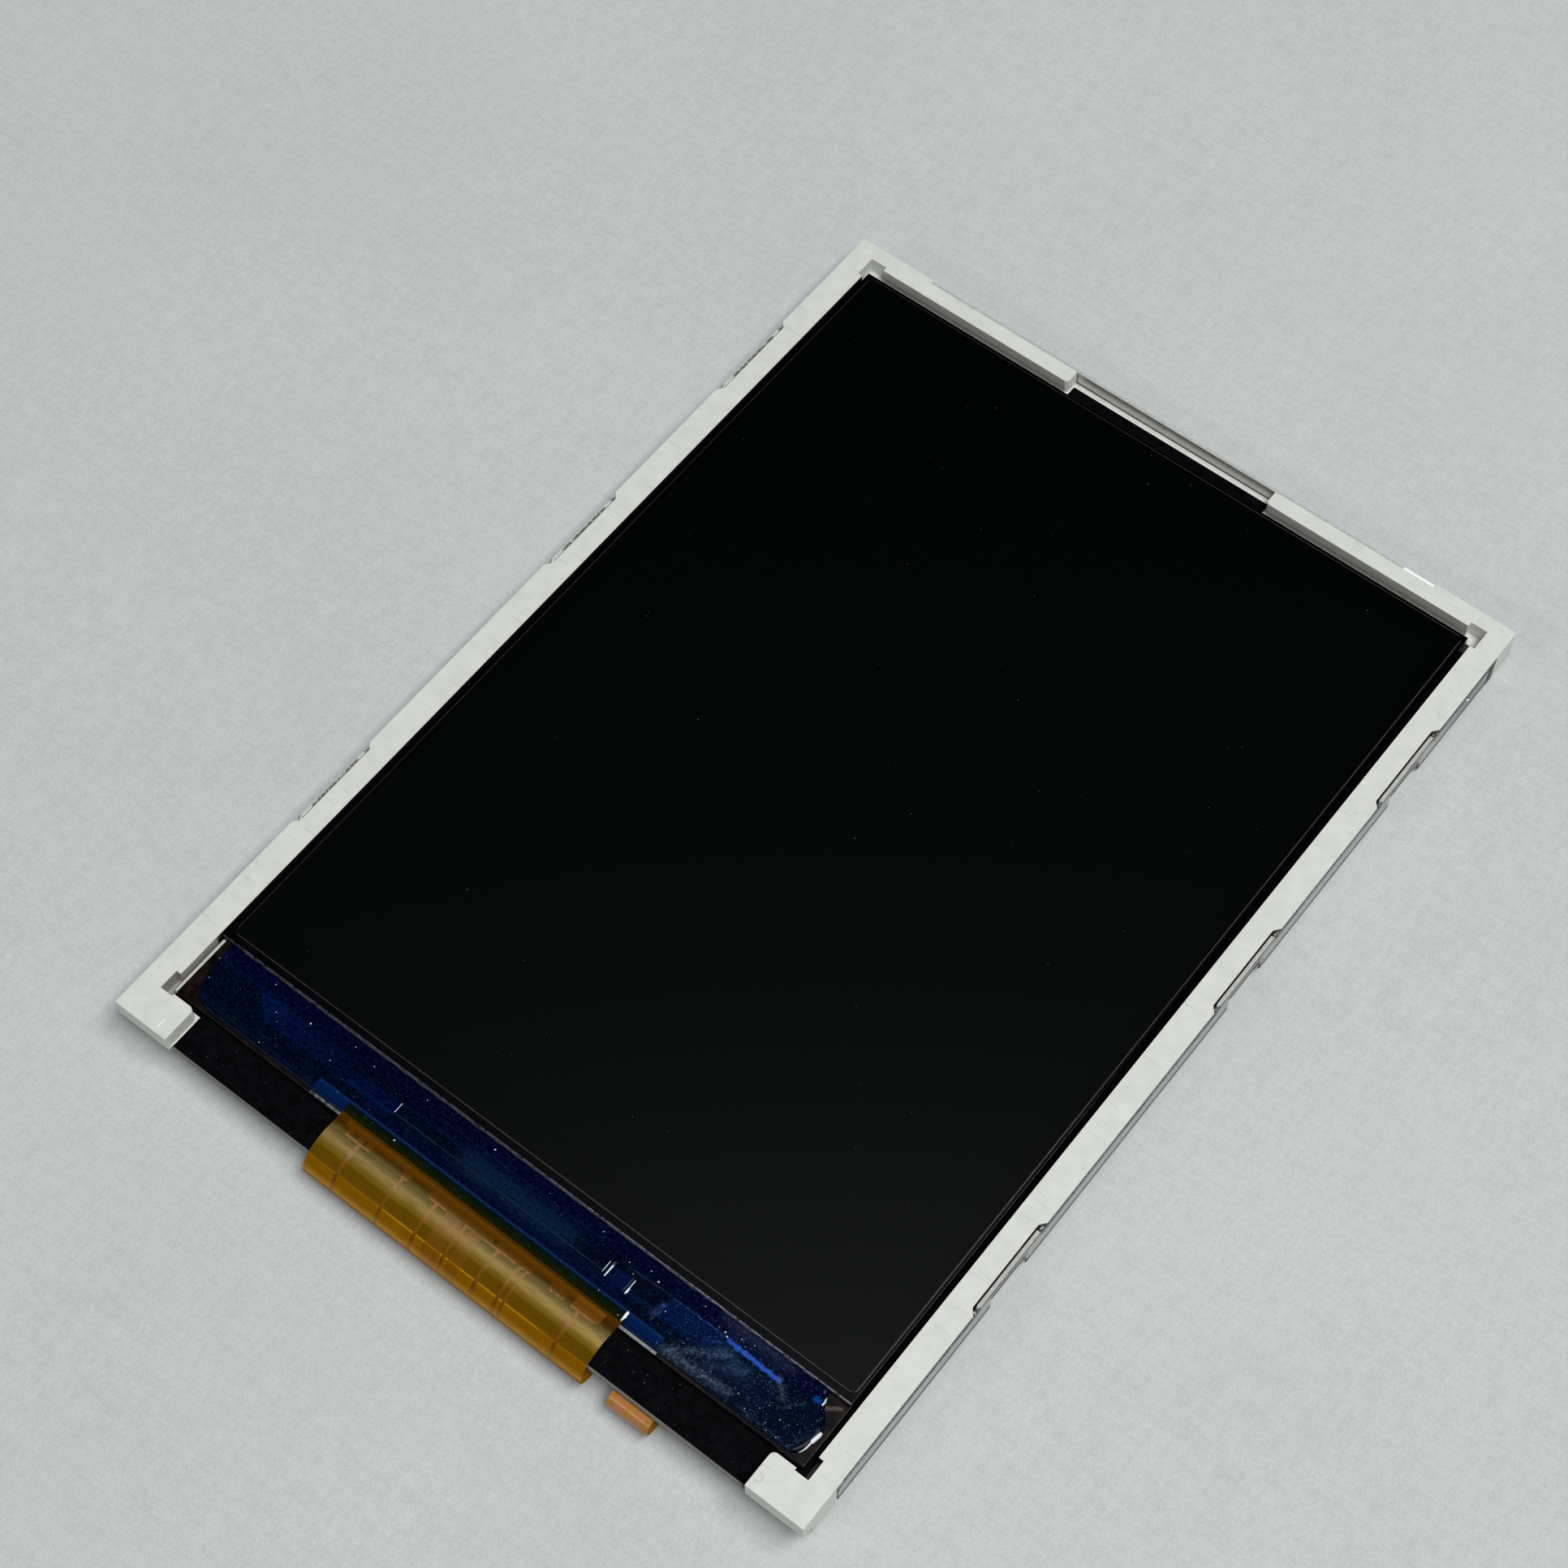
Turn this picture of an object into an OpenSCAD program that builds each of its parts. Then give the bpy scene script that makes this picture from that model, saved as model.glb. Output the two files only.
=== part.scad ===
// Small colour TFT display module, 2.4 inch class.
// A stamped steel tray is latched up round a white moulded frame. The frame holds an edge-lit
// backlight and, on a rim of black tape, the glass cell. The flex bonded to the cell's ledge folds
// round the near end and lies on the tray's back.
// Origin: middle of the tray's back face. +X right, +Y away from the flex, +Z out of the screen.

/* [Outline] */
// Outer width of the module
module_w = 42.72; // [42:0.02:44]
// Outer length of the module, without the folded flex
module_l = 60.26; // [59.5:0.02:61.5]

/* [Steel tray] */
// Thickness of the stainless sheet
steel_t = 0.20; // [0.15:0.01:0.25]
// Inside radius of the bends
bend_r = 0.15; // [0.1:0.01:0.2]
// Height of the two side walls above the tray's back
wall_h = 1.95; // [1.8:0.01:2.02]
// How far the latch tabs rise above the side walls
tab_rise = 0.25; // [0.1:0.01:0.27]
// Height of the far wall above the tray's back
end_wall_h = 2.17; // [1.6:0.01:2.25]
// Length of the far wall
end_wall_len = 32.8; // [20:0.1:36]
// Length left without a wall at the near end of each side
wall_near_gap = 2.58; // [2.3:0.02:6]
// Length left without a wall at the far end of each side
wall_far_gap = 2.45; // [2:0.05:6]
// Distance of the near latch tab's middle from the near end
tab_from_near = 15.73; // [9:0.1:18]
// Distance of the middle latch tab's middle from the module's middle
tab_from_middle = 5.3; // [-2:0.1:7]
// Distance of the far latch tab's middle from the far end
tab_from_far = 10.33; // [9:0.1:12]
// Length of a latch tab at its top
tab_len = 4.7; // [4:0.1:6]
// Length of the window in a latch tab
window_len = 2.9; // [2:0.1:3.4]
// Height of the steel left above a window
window_strip = 0.55; // [0.4:0.01:0.8]
// How far the tray's floor stops short of the near end
floor_setback = 0.63; // [0.5:0.01:0.8]
// Distance of the relief slot in each side wall from the far end
slot_from_far = 4.38; // [3.6:0.02:5]
// Width of that relief slot
slot_w = 0.30; // [0.2:0.01:0.5]
// Length of the slope at the near end of each side wall
wall_slope = 0.45; // [0.1:0.05:1]

/* [Moulded frame] */
// Width of the frame's top along both sides
side_rim_w = 1.50; // [1.3:0.01:1.7]
// Width of the frame's top along the far end
far_rim_w = 1.16; // [1:0.01:1.4]
// Size of each near corner block across the module
block_w = 3.36; // [2.8:0.02:4]
// Size of each near corner block along the module
block_l = 2.08; // [1.8:0.02:2.4]
// How far the near edge between the blocks stands back
lip_setback = 0.10; // [0.05:0.01:0.2]
// Radius on the inner corner of a near block
block_r = 0.30; // [0.1:0.01:0.5]
// Radius on the inner corner of a far bar
bar_r = 0.22; // [0.1:0.01:0.4]
// Width of the gap between the two far bars
recess_w = 13.0; // [8:0.1:20]
// Width of the shelf inside the rims, which the rim tape lies on
shelf_w = 0.85; // [0.6:0.01:1]
// Width of the near cross bar, from the near end inwards
near_bar_w = 3.38; // [3.2:0.01:3.6]
// Depth of the reliefs at the inner corners
relief_d = 0.28; // [0.1:0.01:0.4]
// Length of the reliefs along each rim
relief_l = 1.00; // [0.6:0.02:1.4]
// Depth of the notches that the latch tabs stand in
notch_d = 0.28; // [0.26:0.01:0.4]
// How far the latch bumps stand out
latch_d = 0.20; // [0.1:0.01:0.22]
// Space between a latch bump and the far end of its window
latch_play = 0.45; // [0.1:0.01:0.8]
// How far the frame stands above the front polarizer
rim_proud = 0.11; // [0.05:0.01:0.2]

/* [Backlight] */
// Thickness of the reflector sheet
reflector_t = 0.08; // [0.06:0.01:0.12]
// Thickness of the light guide, and height of the LEDs
guide_t = 0.60; // [0.55:0.01:0.65]
// Thickness of the diffuser sheet
diffuser_t = 0.10; // [0.08:0.01:0.14]
// Thickness of each prism sheet
prism_t = 0.16; // [0.12:0.01:0.18]
// Length of the locating ears on the three films
ear_l = 3.0; // [2:0.1:5]
// Middle of the ears along the module
ear_y = 12; // [-10:0.5:20]
// Number of LEDs
led_count = 4; // [2:1:6]
// Length of an LED
led_l = 3.8; // [3:0.1:4.5]
// Depth of an LED, front to back
led_d = 1.0; // [0.8:0.05:1.1]
// Thickness of the backlight flex
led_flex_t = 0.10; // [0.08:0.01:0.12]
// Space between each end of the backlight flex and the frame
led_flex_space = 1.55; // [0.3:0.05:2]
// Width of the backlight flex's tail
led_tail_w = 2.40; // [2:0.05:3]
// Space between that tail and the main flex
led_tail_space = 1.55; // [1.2:0.05:2]
// How far the tail's fold stands out of the near end
led_tail_reach = 0.52; // [0.45:0.01:0.6]

/* [Glass cell] */
// Thickness of each glass
glass_t = 0.30; // [0.28:0.01:0.35]
// Thickness of each polarizer
polarizer_t = 0.12; // [0.1:0.01:0.15]
// Mean clearance between the cell and the side rims
cell_gap = 0.22; // [0.17:0.01:0.45]
// How far the cell lies to the right of the middle
cell_shift = -0.15; // [-0.16:0.01:0.16]
// Clearance between the cell and the far bars
cell_gap_far = 0.47; // [0.3:0.01:0.6]
// Clearance between the cell and the near blocks
cell_gap_near = 0.30; // [0.2:0.01:0.4]
// Width of the bare ledge of the array glass
ledge_w = 3.60; // [3.4:0.02:3.8]
// How far the front polarizer stays back from the glass at the sides and the far end
polarizer_inset = 0.25; // [0.1:0.01:0.3]
// How far the front polarizer lies to the right of the glass's middle
polarizer_shift = 0.08; // [-0.09:0.01:0.09]
// How far the front polarizer stays back from the glass at the ledge
polarizer_inset_near = 0.43; // [0.3:0.01:0.6]
// Corner radius of the polarizers
polarizer_r = 0.35; // [0.1:0.01:0.6]
// Thickness of the black rim tape
rim_tape_t = 0.05; // [0.04:0.01:0.08]

/* [Driver and main flex] */
// Length of the driver chip
chip_l = 13.1; // [11:0.1:15]
// Width of the driver chip
chip_w = 0.70; // [0.6:0.01:0.8]
// Thickness of the driver chip
chip_t = 0.22; // [0.2:0.01:0.25]
// Length of the bonding film on the ledge
bond_l = 21.6; // [18:0.1:26]
// Thickness of the bonding film
bond_t = 0.03; // [0.02:0.01:0.04]
// Width of the bond between the flex and the ledge
bond_w = 0.80; // [0.7:0.01:0.9]
// Thickness of the main flex
flex_t = 0.12; // [0.1:0.01:0.13]
// Width of the main flex at its fold
flex_w = 17.4; // [15:0.1:18]
// How far the fold stands out of the near end
flex_reach = 0.52; // [0.5:0.01:0.7]
// How far the fold rises above the bonded end
flex_rise = 0.08; // [0.05:0.01:0.12]
// Width of the part of the flex that carries the capacitors
flex_body_w = 28; // [27:0.2:32]
// Length of that part
flex_body_l = 11; // [10:0.2:13]
// Length of the flex's tail beyond it
flex_tail_l = 9; // [7:0.2:10]
// Number of contacts on the tail
contact_count = 36; // [20:1:38]
// Spacing of the contacts
contact_pitch = 0.5; // [0.4:0.01:0.5]
// Thickness of the stiffener under the contacts
stiffener_t = 0.20; // [0.15:0.01:0.25]
// Thickness of the adhesive between the flex and the tray
flex_tape_t = 0.05; // [0.04:0.01:0.08]
// Number of capacitors on the folded flex
capacitor_count = 8; // [4:2:10]
// Length, width and height of a capacitor
capacitor = [1.0, 0.5, 0.35]; // [0.3:0.05:1.2]
// Thickness of the blue sealing gel on the ledge
gel_t = 0.20; // [0.18:0.01:0.22]
// Height of the gel over the driver chip
gel_over_chip = 0.05; // [0.04:0.01:0.06]

/* [Hidden] */
$fn = 48;
beyond = 1;                 // how far a cut runs past what it cuts

// Clearances
steel_gap = 0.04;           // between the tray's walls and the frame
lip_gap = 0.05;             // between the side walls and the lip above them
wall_end_gap = 0.10;        // between a wall's end and the corner block
latch_gap = 0.06;           // above a latch bump and at its near end
film_gap = 0.10;            // round the backlight's sheets
led_gap = 0.05;             // between the LEDs and the light guide
tail_gap = 0.12;            // above the backlight flex's tail
tape_gap = 0.10;            // between the rim tape and the walls round it

// Outline
half_w = module_w / 2;
y_near = -module_l / 2;
y_far = module_l / 2;
bend_o = bend_r + steel_t;  // outside radius of the bends

// Heights, from the tray's back upwards
guide_z = steel_t + reflector_t;
guide_top = guide_z + guide_t;
shelf_z = guide_top + diffuser_t + 2 * prism_t;
cell_z = shelf_z + rim_tape_t;
array_z = cell_z + polarizer_t;
ledge_z = array_z + glass_t;
filter_top = ledge_z + glass_t;
front_z = filter_top + polarizer_t;
top_z = front_z + rim_proud;
near_lip_z = guide_top + led_flex_t + tail_gap;

// Tray
wall_y = [y_near + wall_near_gap, y_far - wall_far_gap];
wall_in = half_w - steel_t;             // inner face of a side wall
tab_y = [y_near + tab_from_near, tab_from_middle, y_far - tab_from_far];
tab_top = wall_h + tab_rise;
window_top = tab_top - window_strip;
floor_near = y_near + floor_setback;
window_bite = 0.10;                     // how far a window runs into the floor
tab_slope = 0.25;                       // length of the sloped ends of a tab
slot_deep = 0.8;                        // depth of a relief slot below the wall's top

// Frame
frame_side = wall_in - steel_gap;       // frame's outer face behind a side wall
frame_far = y_far - steel_t - steel_gap;
rim_x = half_w - side_rim_w;            // inner face of the side rims
rim_far = y_far - far_rim_w;            // inner face of the far bars
block_x = half_w - block_w;
block_y = y_near + block_l;             // inner face of the near blocks
well_x = rim_x - shelf_w;               // inner edge of the shelf
well_far = rim_far - shelf_w - cell_gap_far;
well_near = y_near + near_bar_w;
edge_chamfer = bend_r + steel_gap + 0.02;
channel_w = led_tail_w + 0.4;           // channel in the near bar for the flex's tail
ear_w = 0.5;                            // how far an ear stands out
notch_slope = 0.35;

// Glass cell
cell_x = rim_x - cell_gap;
cell_sides = [cell_shift - cell_x, cell_shift + cell_x];
film_inset = [polarizer_inset, -polarizer_inset];
cell_far = rim_far - cell_gap_far;
cell_near = block_y + cell_gap_near;
filter_near = cell_near + ledge_w;

// Rim tape
tape_lip = 0.13;                        // bare frame left beyond the tape at the near end
tape_far = frame_far - 0.34;            // tape's far edge in the recess
tape_hole_x = well_x - 0.45;
tape_hole = [well_near + 4.25, well_far - 0.45];

// Backlight
film_x = well_x - film_gap;
guide_y = [well_near + 2.55, well_far - film_gap];
sheet_near = guide_y[0] + 0.6;          // the films stop behind the backlight flex
led_back = guide_y[0] - led_gap - led_d;
led_flex_y = [well_near + film_gap, sheet_near - film_gap];
led_flex_x = well_x - led_flex_space;
led_pitch = 2 * film_x / led_count;     // the LEDs share the guide's edge evenly
tail_under = -(flex_tape_t + flex_t);   // the tail lies on the outside of the main flex
tail_r = (guide_top + led_flex_t - tail_under + led_flex_t) / 2;
tail_end = y_near + 6.2;
solder_w = 0.35;
solder_t = 0.08;

// Driver, bond and gel
flex_x = -0.1;
led_tail_x = flex_x + flex_w / 2 + led_tail_space + led_tail_w / 2;
chip_x = -0.2;
chip_y = filter_near - 1.60;
bond_far = cell_near + bond_w;
gel_x = cell_x - 0.6;
gel_r = 0.9;
gel_near = cell_near + 0.06;
ridge_side = 0.35;                      // gel beyond the chip on each side

// Main flex: its fold is two quarter ellipses that meet at the outermost point
flex_top = ledge_z + bond_t + flex_t;   // outer side of the bonded end
fold_y = cell_near - 0.95;              // where the fold is highest
fold_out = y_near - flex_reach;
fold_mid = 0.5;                         // height of the outermost point
fold_top = flex_top + flex_rise;
under_z = -(flex_tape_t + flex_t);      // outer side of the flex under the tray
fold_back = fold_out + 0.95;            // where the fold meets the tray's back
body_near = bond_far + 0.65;
body_far = body_near + flex_body_l;
tail_far = body_far + flex_tail_l;
contact_w = 0.6 * contact_pitch;
contact_l = 3.0;
contact_t = 0.02;
tail_w = (contact_count + 1) * contact_pitch;
stiffener_l = 5.0;
stiffener_near = tail_far - stiffener_l;
jog_l = 1.2;                            // length over which the tail steps down on to the stiffener
body_r = 0.8;
flex_margin = 0.6;                      // adhesive stays this far inside the flex
body_x = 0.5;                           // the wide part reaches the backlight flex's tail
fold_steps = 24;

// ---- helpers ----

// A block given by its two ends along each axis
module slab(x, y, z)
    translate([x[0], y[0], z[0]]) cube([x[1] - x[0], y[1] - y[0], z[1] - z[0]]);

// A block with round upright edges
module round_slab(x, y, z, r)
    translate([0, 0, z[0]]) linear_extrude(z[1] - z[0]) round_rect(x, y, r);

module round_rect(x, y, r) {
    translate([x[0] + r, y[0]]) square([x[1] - x[0] - 2 * r, y[1] - y[0]]);
    translate([x[0], y[0] + r]) square([x[1] - x[0], y[1] - y[0] - 2 * r]);
    for (cx = [x[0] + r, x[1] - r], cy = [y[0] + r, y[1] - r])
        translate([cx, cy]) circle(r);
}

// A shape and its mirror image on the other side of the module
module both_sides() {
    children();
    mirror([1, 0, 0]) children();
}

// A profile drawn in Y and Z, extruded across the module
module across(x)
    translate([x[0], 0, 0]) rotate([90, 0, 90]) linear_extrude(x[1] - x[0]) children();

// A profile drawn in X and Z, extruded along the module
module along(y)
    translate([0, y[1], 0]) rotate([90, 0, 0]) linear_extrude(y[1] - y[0]) children();

// Points on an ellipse between two angles
function arc(c, a, b, from, to, n) =
    [for (i = [0 : n]) let (w = from + (to - from) * i / n) [c[0] + a * cos(w), c[1] + b * sin(w)]];

// ---- steel tray ----

// Quarter ring of a bend whose outer faces lie on x = 0 and y = 0
module bend_section()
    translate([-bend_o, bend_o]) intersection() {
        difference() {
            circle(bend_o);
            circle(bend_r);
        }
        translate([0, -bend_o]) square(bend_o);
    }

// One side wall seen from the side: the latch tabs rise from its top edge
module side_wall_face()
    difference() {
        union() {
            polygon([[wall_y[0], bend_o], [wall_y[1], bend_o], [wall_y[1], wall_h],
                [wall_y[0] + wall_slope, wall_h], [wall_y[0], wall_h - 2 * wall_slope]]);
            for (y = tab_y)
                translate([y, 0]) polygon([
                    [-tab_len / 2 - tab_slope, wall_h - tab_rise],
                    [tab_len / 2 + tab_slope, wall_h - tab_rise],
                    [tab_len / 2 + tab_slope, wall_h], [tab_len / 2, tab_top],
                    [-tab_len / 2, tab_top], [-tab_len / 2 - tab_slope, wall_h]]);
        }
        translate([y_far - slot_from_far - slot_w / 2, wall_h - slot_deep])
            square([slot_w, slot_deep + beyond]);
    }

module side_wall() {
    across([wall_in, half_w]) side_wall_face();
    along(wall_y) translate([half_w, 0]) bend_section();
}

module far_wall() {
    along_x = [-end_wall_len / 2, end_wall_len / 2];
    slab(along_x, [y_far - steel_t, y_far], [bend_o, end_wall_h]);
    across(along_x) translate([y_far, 0]) bend_section();
}

module rear_tray()
    color([0.62, 0.63, 0.64]) difference() {
        union() {
            slab([-half_w + bend_o, half_w - bend_o], [floor_near, y_far - bend_o], [0, steel_t]);
            both_sides() side_wall();
            far_wall();
        }
        both_sides() for (y = tab_y)
            slab([half_w - bend_o - window_bite, half_w + beyond],
                 [y - window_len / 2, y + window_len / 2], [-beyond, window_top]);
    }

// ---- moulded frame ----

// Outer shape of the frame: it steps in behind the tray's walls and over the tail at the near end
module frame_body()
    difference() {
        slab([-half_w, half_w], [y_near, y_far], [steel_t, top_z]);
        slab([-block_x, block_x], [y_near - beyond, y_near + lip_setback], [0, top_z]);
        both_sides() {
            slab([frame_side, half_w + beyond], [wall_y[0] - wall_end_gap, wall_y[1] + wall_end_gap],
                 [0, wall_h + lip_gap]);
            for (y = tab_y) tab_notch(y);
            along(wall_y) polygon([[frame_side - edge_chamfer, steel_t], [frame_side + beyond, steel_t],
                [frame_side + beyond, steel_t + edge_chamfer], [frame_side, steel_t + edge_chamfer]]);
        }
        slab([-end_wall_len / 2 - wall_end_gap, end_wall_len / 2 + wall_end_gap],
             [frame_far, y_far + beyond], [0, top_z + beyond]);
        across([-end_wall_len / 2, end_wall_len / 2])
            polygon([[frame_far - edge_chamfer, steel_t], [frame_far + beyond, steel_t],
                [frame_far + beyond, steel_t + edge_chamfer], [frame_far, steel_t + edge_chamfer]]);
        slab([-half_w - beyond, half_w + beyond], [y_near - beyond, floor_near], [0, near_lip_z]);
    }

// Notch in the frame's top edge for one latch tab, with sloped ends
module tab_notch(y)
    translate([half_w, y, wall_h - tab_rise]) linear_extrude(top_z)
        polygon([[beyond, -tab_len / 2 - tab_slope - notch_slope * (1 + beyond / notch_d)],
            [-notch_d, -tab_len / 2 - tab_slope], [-notch_d, tab_len / 2 + tab_slope],
            [beyond, tab_len / 2 + tab_slope + notch_slope * (1 + beyond / notch_d)]]);

// Bump that snaps into a tab's window: a ramp below and a flat catch above
module latch_bump(y) {
    catch_z = window_top - latch_gap;
    along([y - window_len / 2 + latch_gap, y + window_len / 2 - latch_play])
        polygon([[frame_side - latch_gap, bend_o], [frame_side, bend_o],
            [frame_side + latch_d, bend_o + 0.6 * (catch_z - bend_o)],
            [frame_side + latch_d, catch_z], [frame_side - latch_gap, catch_z]]);
}

// Everything above the shelf that isn't rim: the bay for the cell, the recess and the tape's ledge
module cell_bay() {
    up = [shelf_z, top_z + beyond];
    slab([-rim_x, rim_x], [block_y, rim_far], up);
    slab([-recess_w / 2, recess_w / 2], [rim_far - beyond, y_far + beyond], up);
    slab([-block_x, block_x], [y_near - beyond, block_y + beyond], up);
    both_sides() {
        slab([rim_x - relief_l + relief_d, rim_x + relief_d], [rim_far - relief_l, rim_far + relief_d], up);
        slab([rim_x - relief_l / 2, rim_x + relief_d], [block_y - relief_d / 2, block_y + relief_l], up);
        translate([block_x, block_y, 0]) corner_cut(block_r, up);
        translate([recess_w / 2, rim_far, 0]) mirror([0, 1, 0]) corner_cut(bar_r, up);
    }
}

// Cuts a round on an upright corner whose solid lies towards +X and -Y
module corner_cut(r, z)
    difference() {
        slab([-r, r], [-r, r], z);
        translate([r, -r, 0]) cylinder(r = r, h = 2 * z[1]);
    }

// Well for the backlight, with pockets for the films' ears and a channel for the flex's tail
module backlight_well() {
    slab([-well_x, well_x], [well_near, well_far], [0, top_z]);
    both_sides()
        slab([well_x - beyond, well_x + ear_w], [ear_y - ear_l / 2 - film_gap, ear_y + ear_l / 2 + film_gap],
             [guide_top, top_z]);
    slab([led_tail_x - channel_w / 2, led_tail_x + channel_w / 2], [y_near - beyond, well_near + beyond],
         [0, near_lip_z]);
}

module moulded_frame()
    color([0.90, 0.90, 0.87]) {
        difference() {
            frame_body();
            cell_bay();
            backlight_well();
        }
        both_sides() for (y = tab_y) latch_bump(y);
    }

// ---- backlight ----

module reflector_sheet()
    color([0.95, 0.95, 0.96])
        slab([-film_x, film_x], [well_near + film_gap, guide_y[1]], [steel_t, guide_z]);

module light_guide()
    color([0.80, 0.88, 0.92, 0.6]) slab([-film_x, film_x], guide_y, [guide_z, guide_top]);

// A film with one locating ear on each side
module eared_film(z) {
    slab([-film_x, film_x], [sheet_near, guide_y[1]], z);
    ear = well_x + ear_w - film_gap;
    slab([-ear, ear], [ear_y - ear_l / 2, ear_y + ear_l / 2], z);
}

module diffuser_sheet()
    color([0.93, 0.93, 0.92]) eared_film([guide_top, guide_top + diffuser_t]);

// Prism sheets lie one above the other, the lower one first
module prism_sheet(i)
    color([0.85, 0.87, 0.90])
        eared_film([guide_top + diffuser_t + i * prism_t, guide_top + diffuser_t + (i + 1) * prism_t]);

function led_x(i) = (i - (led_count - 1) / 2) * led_pitch;

module led(i) {
    lens_l = 0.8 * led_l;
    color([0.95, 0.92, 0.75]) difference() {
        translate([led_x(i), 0, 0])
            slab([-led_l / 2, led_l / 2], [led_back, led_back + led_d], [guide_z, guide_top]);
        translate([led_x(i), 0, 0])
            slab([-lens_l / 2, lens_l / 2], [led_back + 0.75 * led_d, led_back + led_d + beyond],
                 [guide_z + guide_t / 5, guide_top - guide_t / 5]);
    }
}

// Strip above the LEDs, with a tail that folds round the near end on to the main flex
module backlight_flex()
    color([0.80, 0.48, 0.10]) {
        z_strip = [guide_top, guide_top + led_flex_t];
        slab([-led_flex_x, led_flex_x], led_flex_y, z_strip);
        across([led_tail_x - led_tail_w / 2, led_tail_x + led_tail_w / 2]) {
            c = [y_near - led_tail_reach + tail_r, guide_top + led_flex_t - tail_r];
            polygon(concat(
                [[led_flex_y[0] + beyond / 2, z_strip[1]]], arc(c, tail_r, tail_r, 90, 270, 2 * fold_steps),
                [[tail_end, c[1] - tail_r], [tail_end, c[1] - tail_r + led_flex_t]],
                arc(c, tail_r - led_flex_t, tail_r - led_flex_t, 270, 90, 2 * fold_steps),
                [[led_flex_y[0] + beyond / 2, z_strip[0]]]));
        }
    }

// Two solder joints that fix the tail to the main flex
module backlight_solder()
    color([0.78, 0.78, 0.80]) for (s = [-1, 1])
        translate([led_tail_x + s * led_tail_w / 4, 0, 0])
            slab([-solder_w / 2, solder_w / 2], [tail_end - 1.1, tail_end - 0.1],
                 [tail_under - led_flex_t - solder_t, tail_under - led_flex_t]);

// ---- glass cell ----

// Black tape on the shelf: it carries the cell, and shows in the far recess and at the near end
module rim_tape()
    color([0.03, 0.03, 0.035]) difference() {
        z = [shelf_z, cell_z];
        union() {
            slab([-rim_x + tape_gap, rim_x - tape_gap], [block_y + tape_gap, rim_far - tape_gap], z);
            slab([-recess_w / 2 + tape_gap, recess_w / 2 - tape_gap], [rim_far - beyond, tape_far], z);
            slab([-block_x + tape_gap, block_x - tape_gap],
                [y_near + lip_setback + tape_lip, block_y + beyond], z);
        }
        both_sides()
            slab([rim_x - relief_l + relief_d, rim_x], [rim_far - relief_l, rim_far], [0, top_z]);
        slab([-tape_hole_x, tape_hole_x], tape_hole, [0, top_z]);
    }

module rear_polarizer()
    color([0.10, 0.10, 0.11])
        round_slab(cell_sides + film_inset, [filter_near, cell_far] + film_inset, [cell_z, array_z],
                   polarizer_r);

module array_glass()
    color([0.16, 0.15, 0.15]) slab(cell_sides, [cell_near, cell_far], [array_z, ledge_z]);

module filter_glass()
    color([0.05, 0.05, 0.06]) slab(cell_sides, [filter_near, cell_far], [ledge_z, filter_top]);

module front_polarizer()
    color([0.02, 0.02, 0.022])
        round_slab(cell_sides + film_inset + [polarizer_shift, polarizer_shift],
                   [filter_near + polarizer_inset_near, cell_far - polarizer_inset], [filter_top, front_z],
                   polarizer_r);

module driver_chip()
    color([0.12, 0.14, 0.18])
        slab([chip_x - chip_l / 2, chip_x + chip_l / 2], [chip_y - chip_w / 2, chip_y + chip_w / 2],
             [ledge_z, ledge_z + chip_t]);

module bonding_film()
    color([0.35, 0.55, 0.70])
        slab([-bond_l / 2, bond_l / 2], [cell_near, bond_far], [ledge_z, ledge_z + bond_t]);

// Blue gel poured over the ledge: it covers the wiring, the chip and the bonded end of the flex
module ledge_gel()
    color([0.02, 0.08, 0.32]) difference() {
        union() {
            round_slab([-gel_x, gel_x], [gel_near, filter_near - gel_r], [ledge_z, ledge_z + gel_t], gel_r);
            slab([-gel_x, gel_x], [filter_near - 2 * gel_r, filter_near], [ledge_z, ledge_z + gel_t]);
            round_slab([chip_x - chip_l / 2 - ridge_side, chip_x + chip_l / 2 + ridge_side],
                       [chip_y - chip_w / 2 - ridge_side, chip_y + chip_w / 2 + ridge_side],
                       [ledge_z, ledge_z + chip_t + gel_over_chip], ridge_side);
        }
        driver_chip();
        bonding_film();
        slab([flex_x - flex_w / 2, flex_x + flex_w / 2], [cell_near - beyond, bond_far],
             [ledge_z, flex_top]);
    }

// ---- main flex ----

// Section of the flex along the module: bonded end, fold, back, and the step on to the stiffener
module flex_section() {
    upper = [fold_y - fold_out, fold_top - fold_mid];
    lower = [fold_back - fold_out, fold_mid - under_z];
    tail_z = -stiffener_t - flex_t;
    jog = [stiffener_near - jog_l - flex_margin, stiffener_near - flex_margin];
    polygon(concat(
        [[bond_far, flex_top], [cell_near, flex_top]],
        arc([fold_y, fold_mid], upper[0], upper[1], 90, 180, fold_steps),
        arc([fold_back, fold_mid], lower[0], lower[1], 180, 270, fold_steps),
        [[jog[0], under_z], [jog[1], tail_z], [tail_far, tail_z], [tail_far, tail_z + flex_t],
         [jog[1], tail_z + flex_t], [jog[0], under_z + flex_t]],
        arc([fold_back, fold_mid], lower[0] - flex_t, lower[1] - flex_t, 270, 180, fold_steps),
        arc([fold_y, fold_mid], upper[0] - flex_t, upper[1] - flex_t, 180, 90, fold_steps),
        [[cell_near, flex_top - flex_t], [bond_far, flex_top - flex_t]]));
}

// Outline of the flex seen from above
module flex_plan() {
    translate([flex_x - flex_w / 2, fold_out - beyond])
        square([flex_w, body_near + body_r - fold_out + beyond]);
    round_rect([body_x - flex_body_w / 2, body_x + flex_body_w / 2], [body_near, body_far], body_r);
    translate([flex_x - tail_w / 2, body_far - body_r]) square([tail_w, flex_tail_l + body_r]);
}

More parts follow.
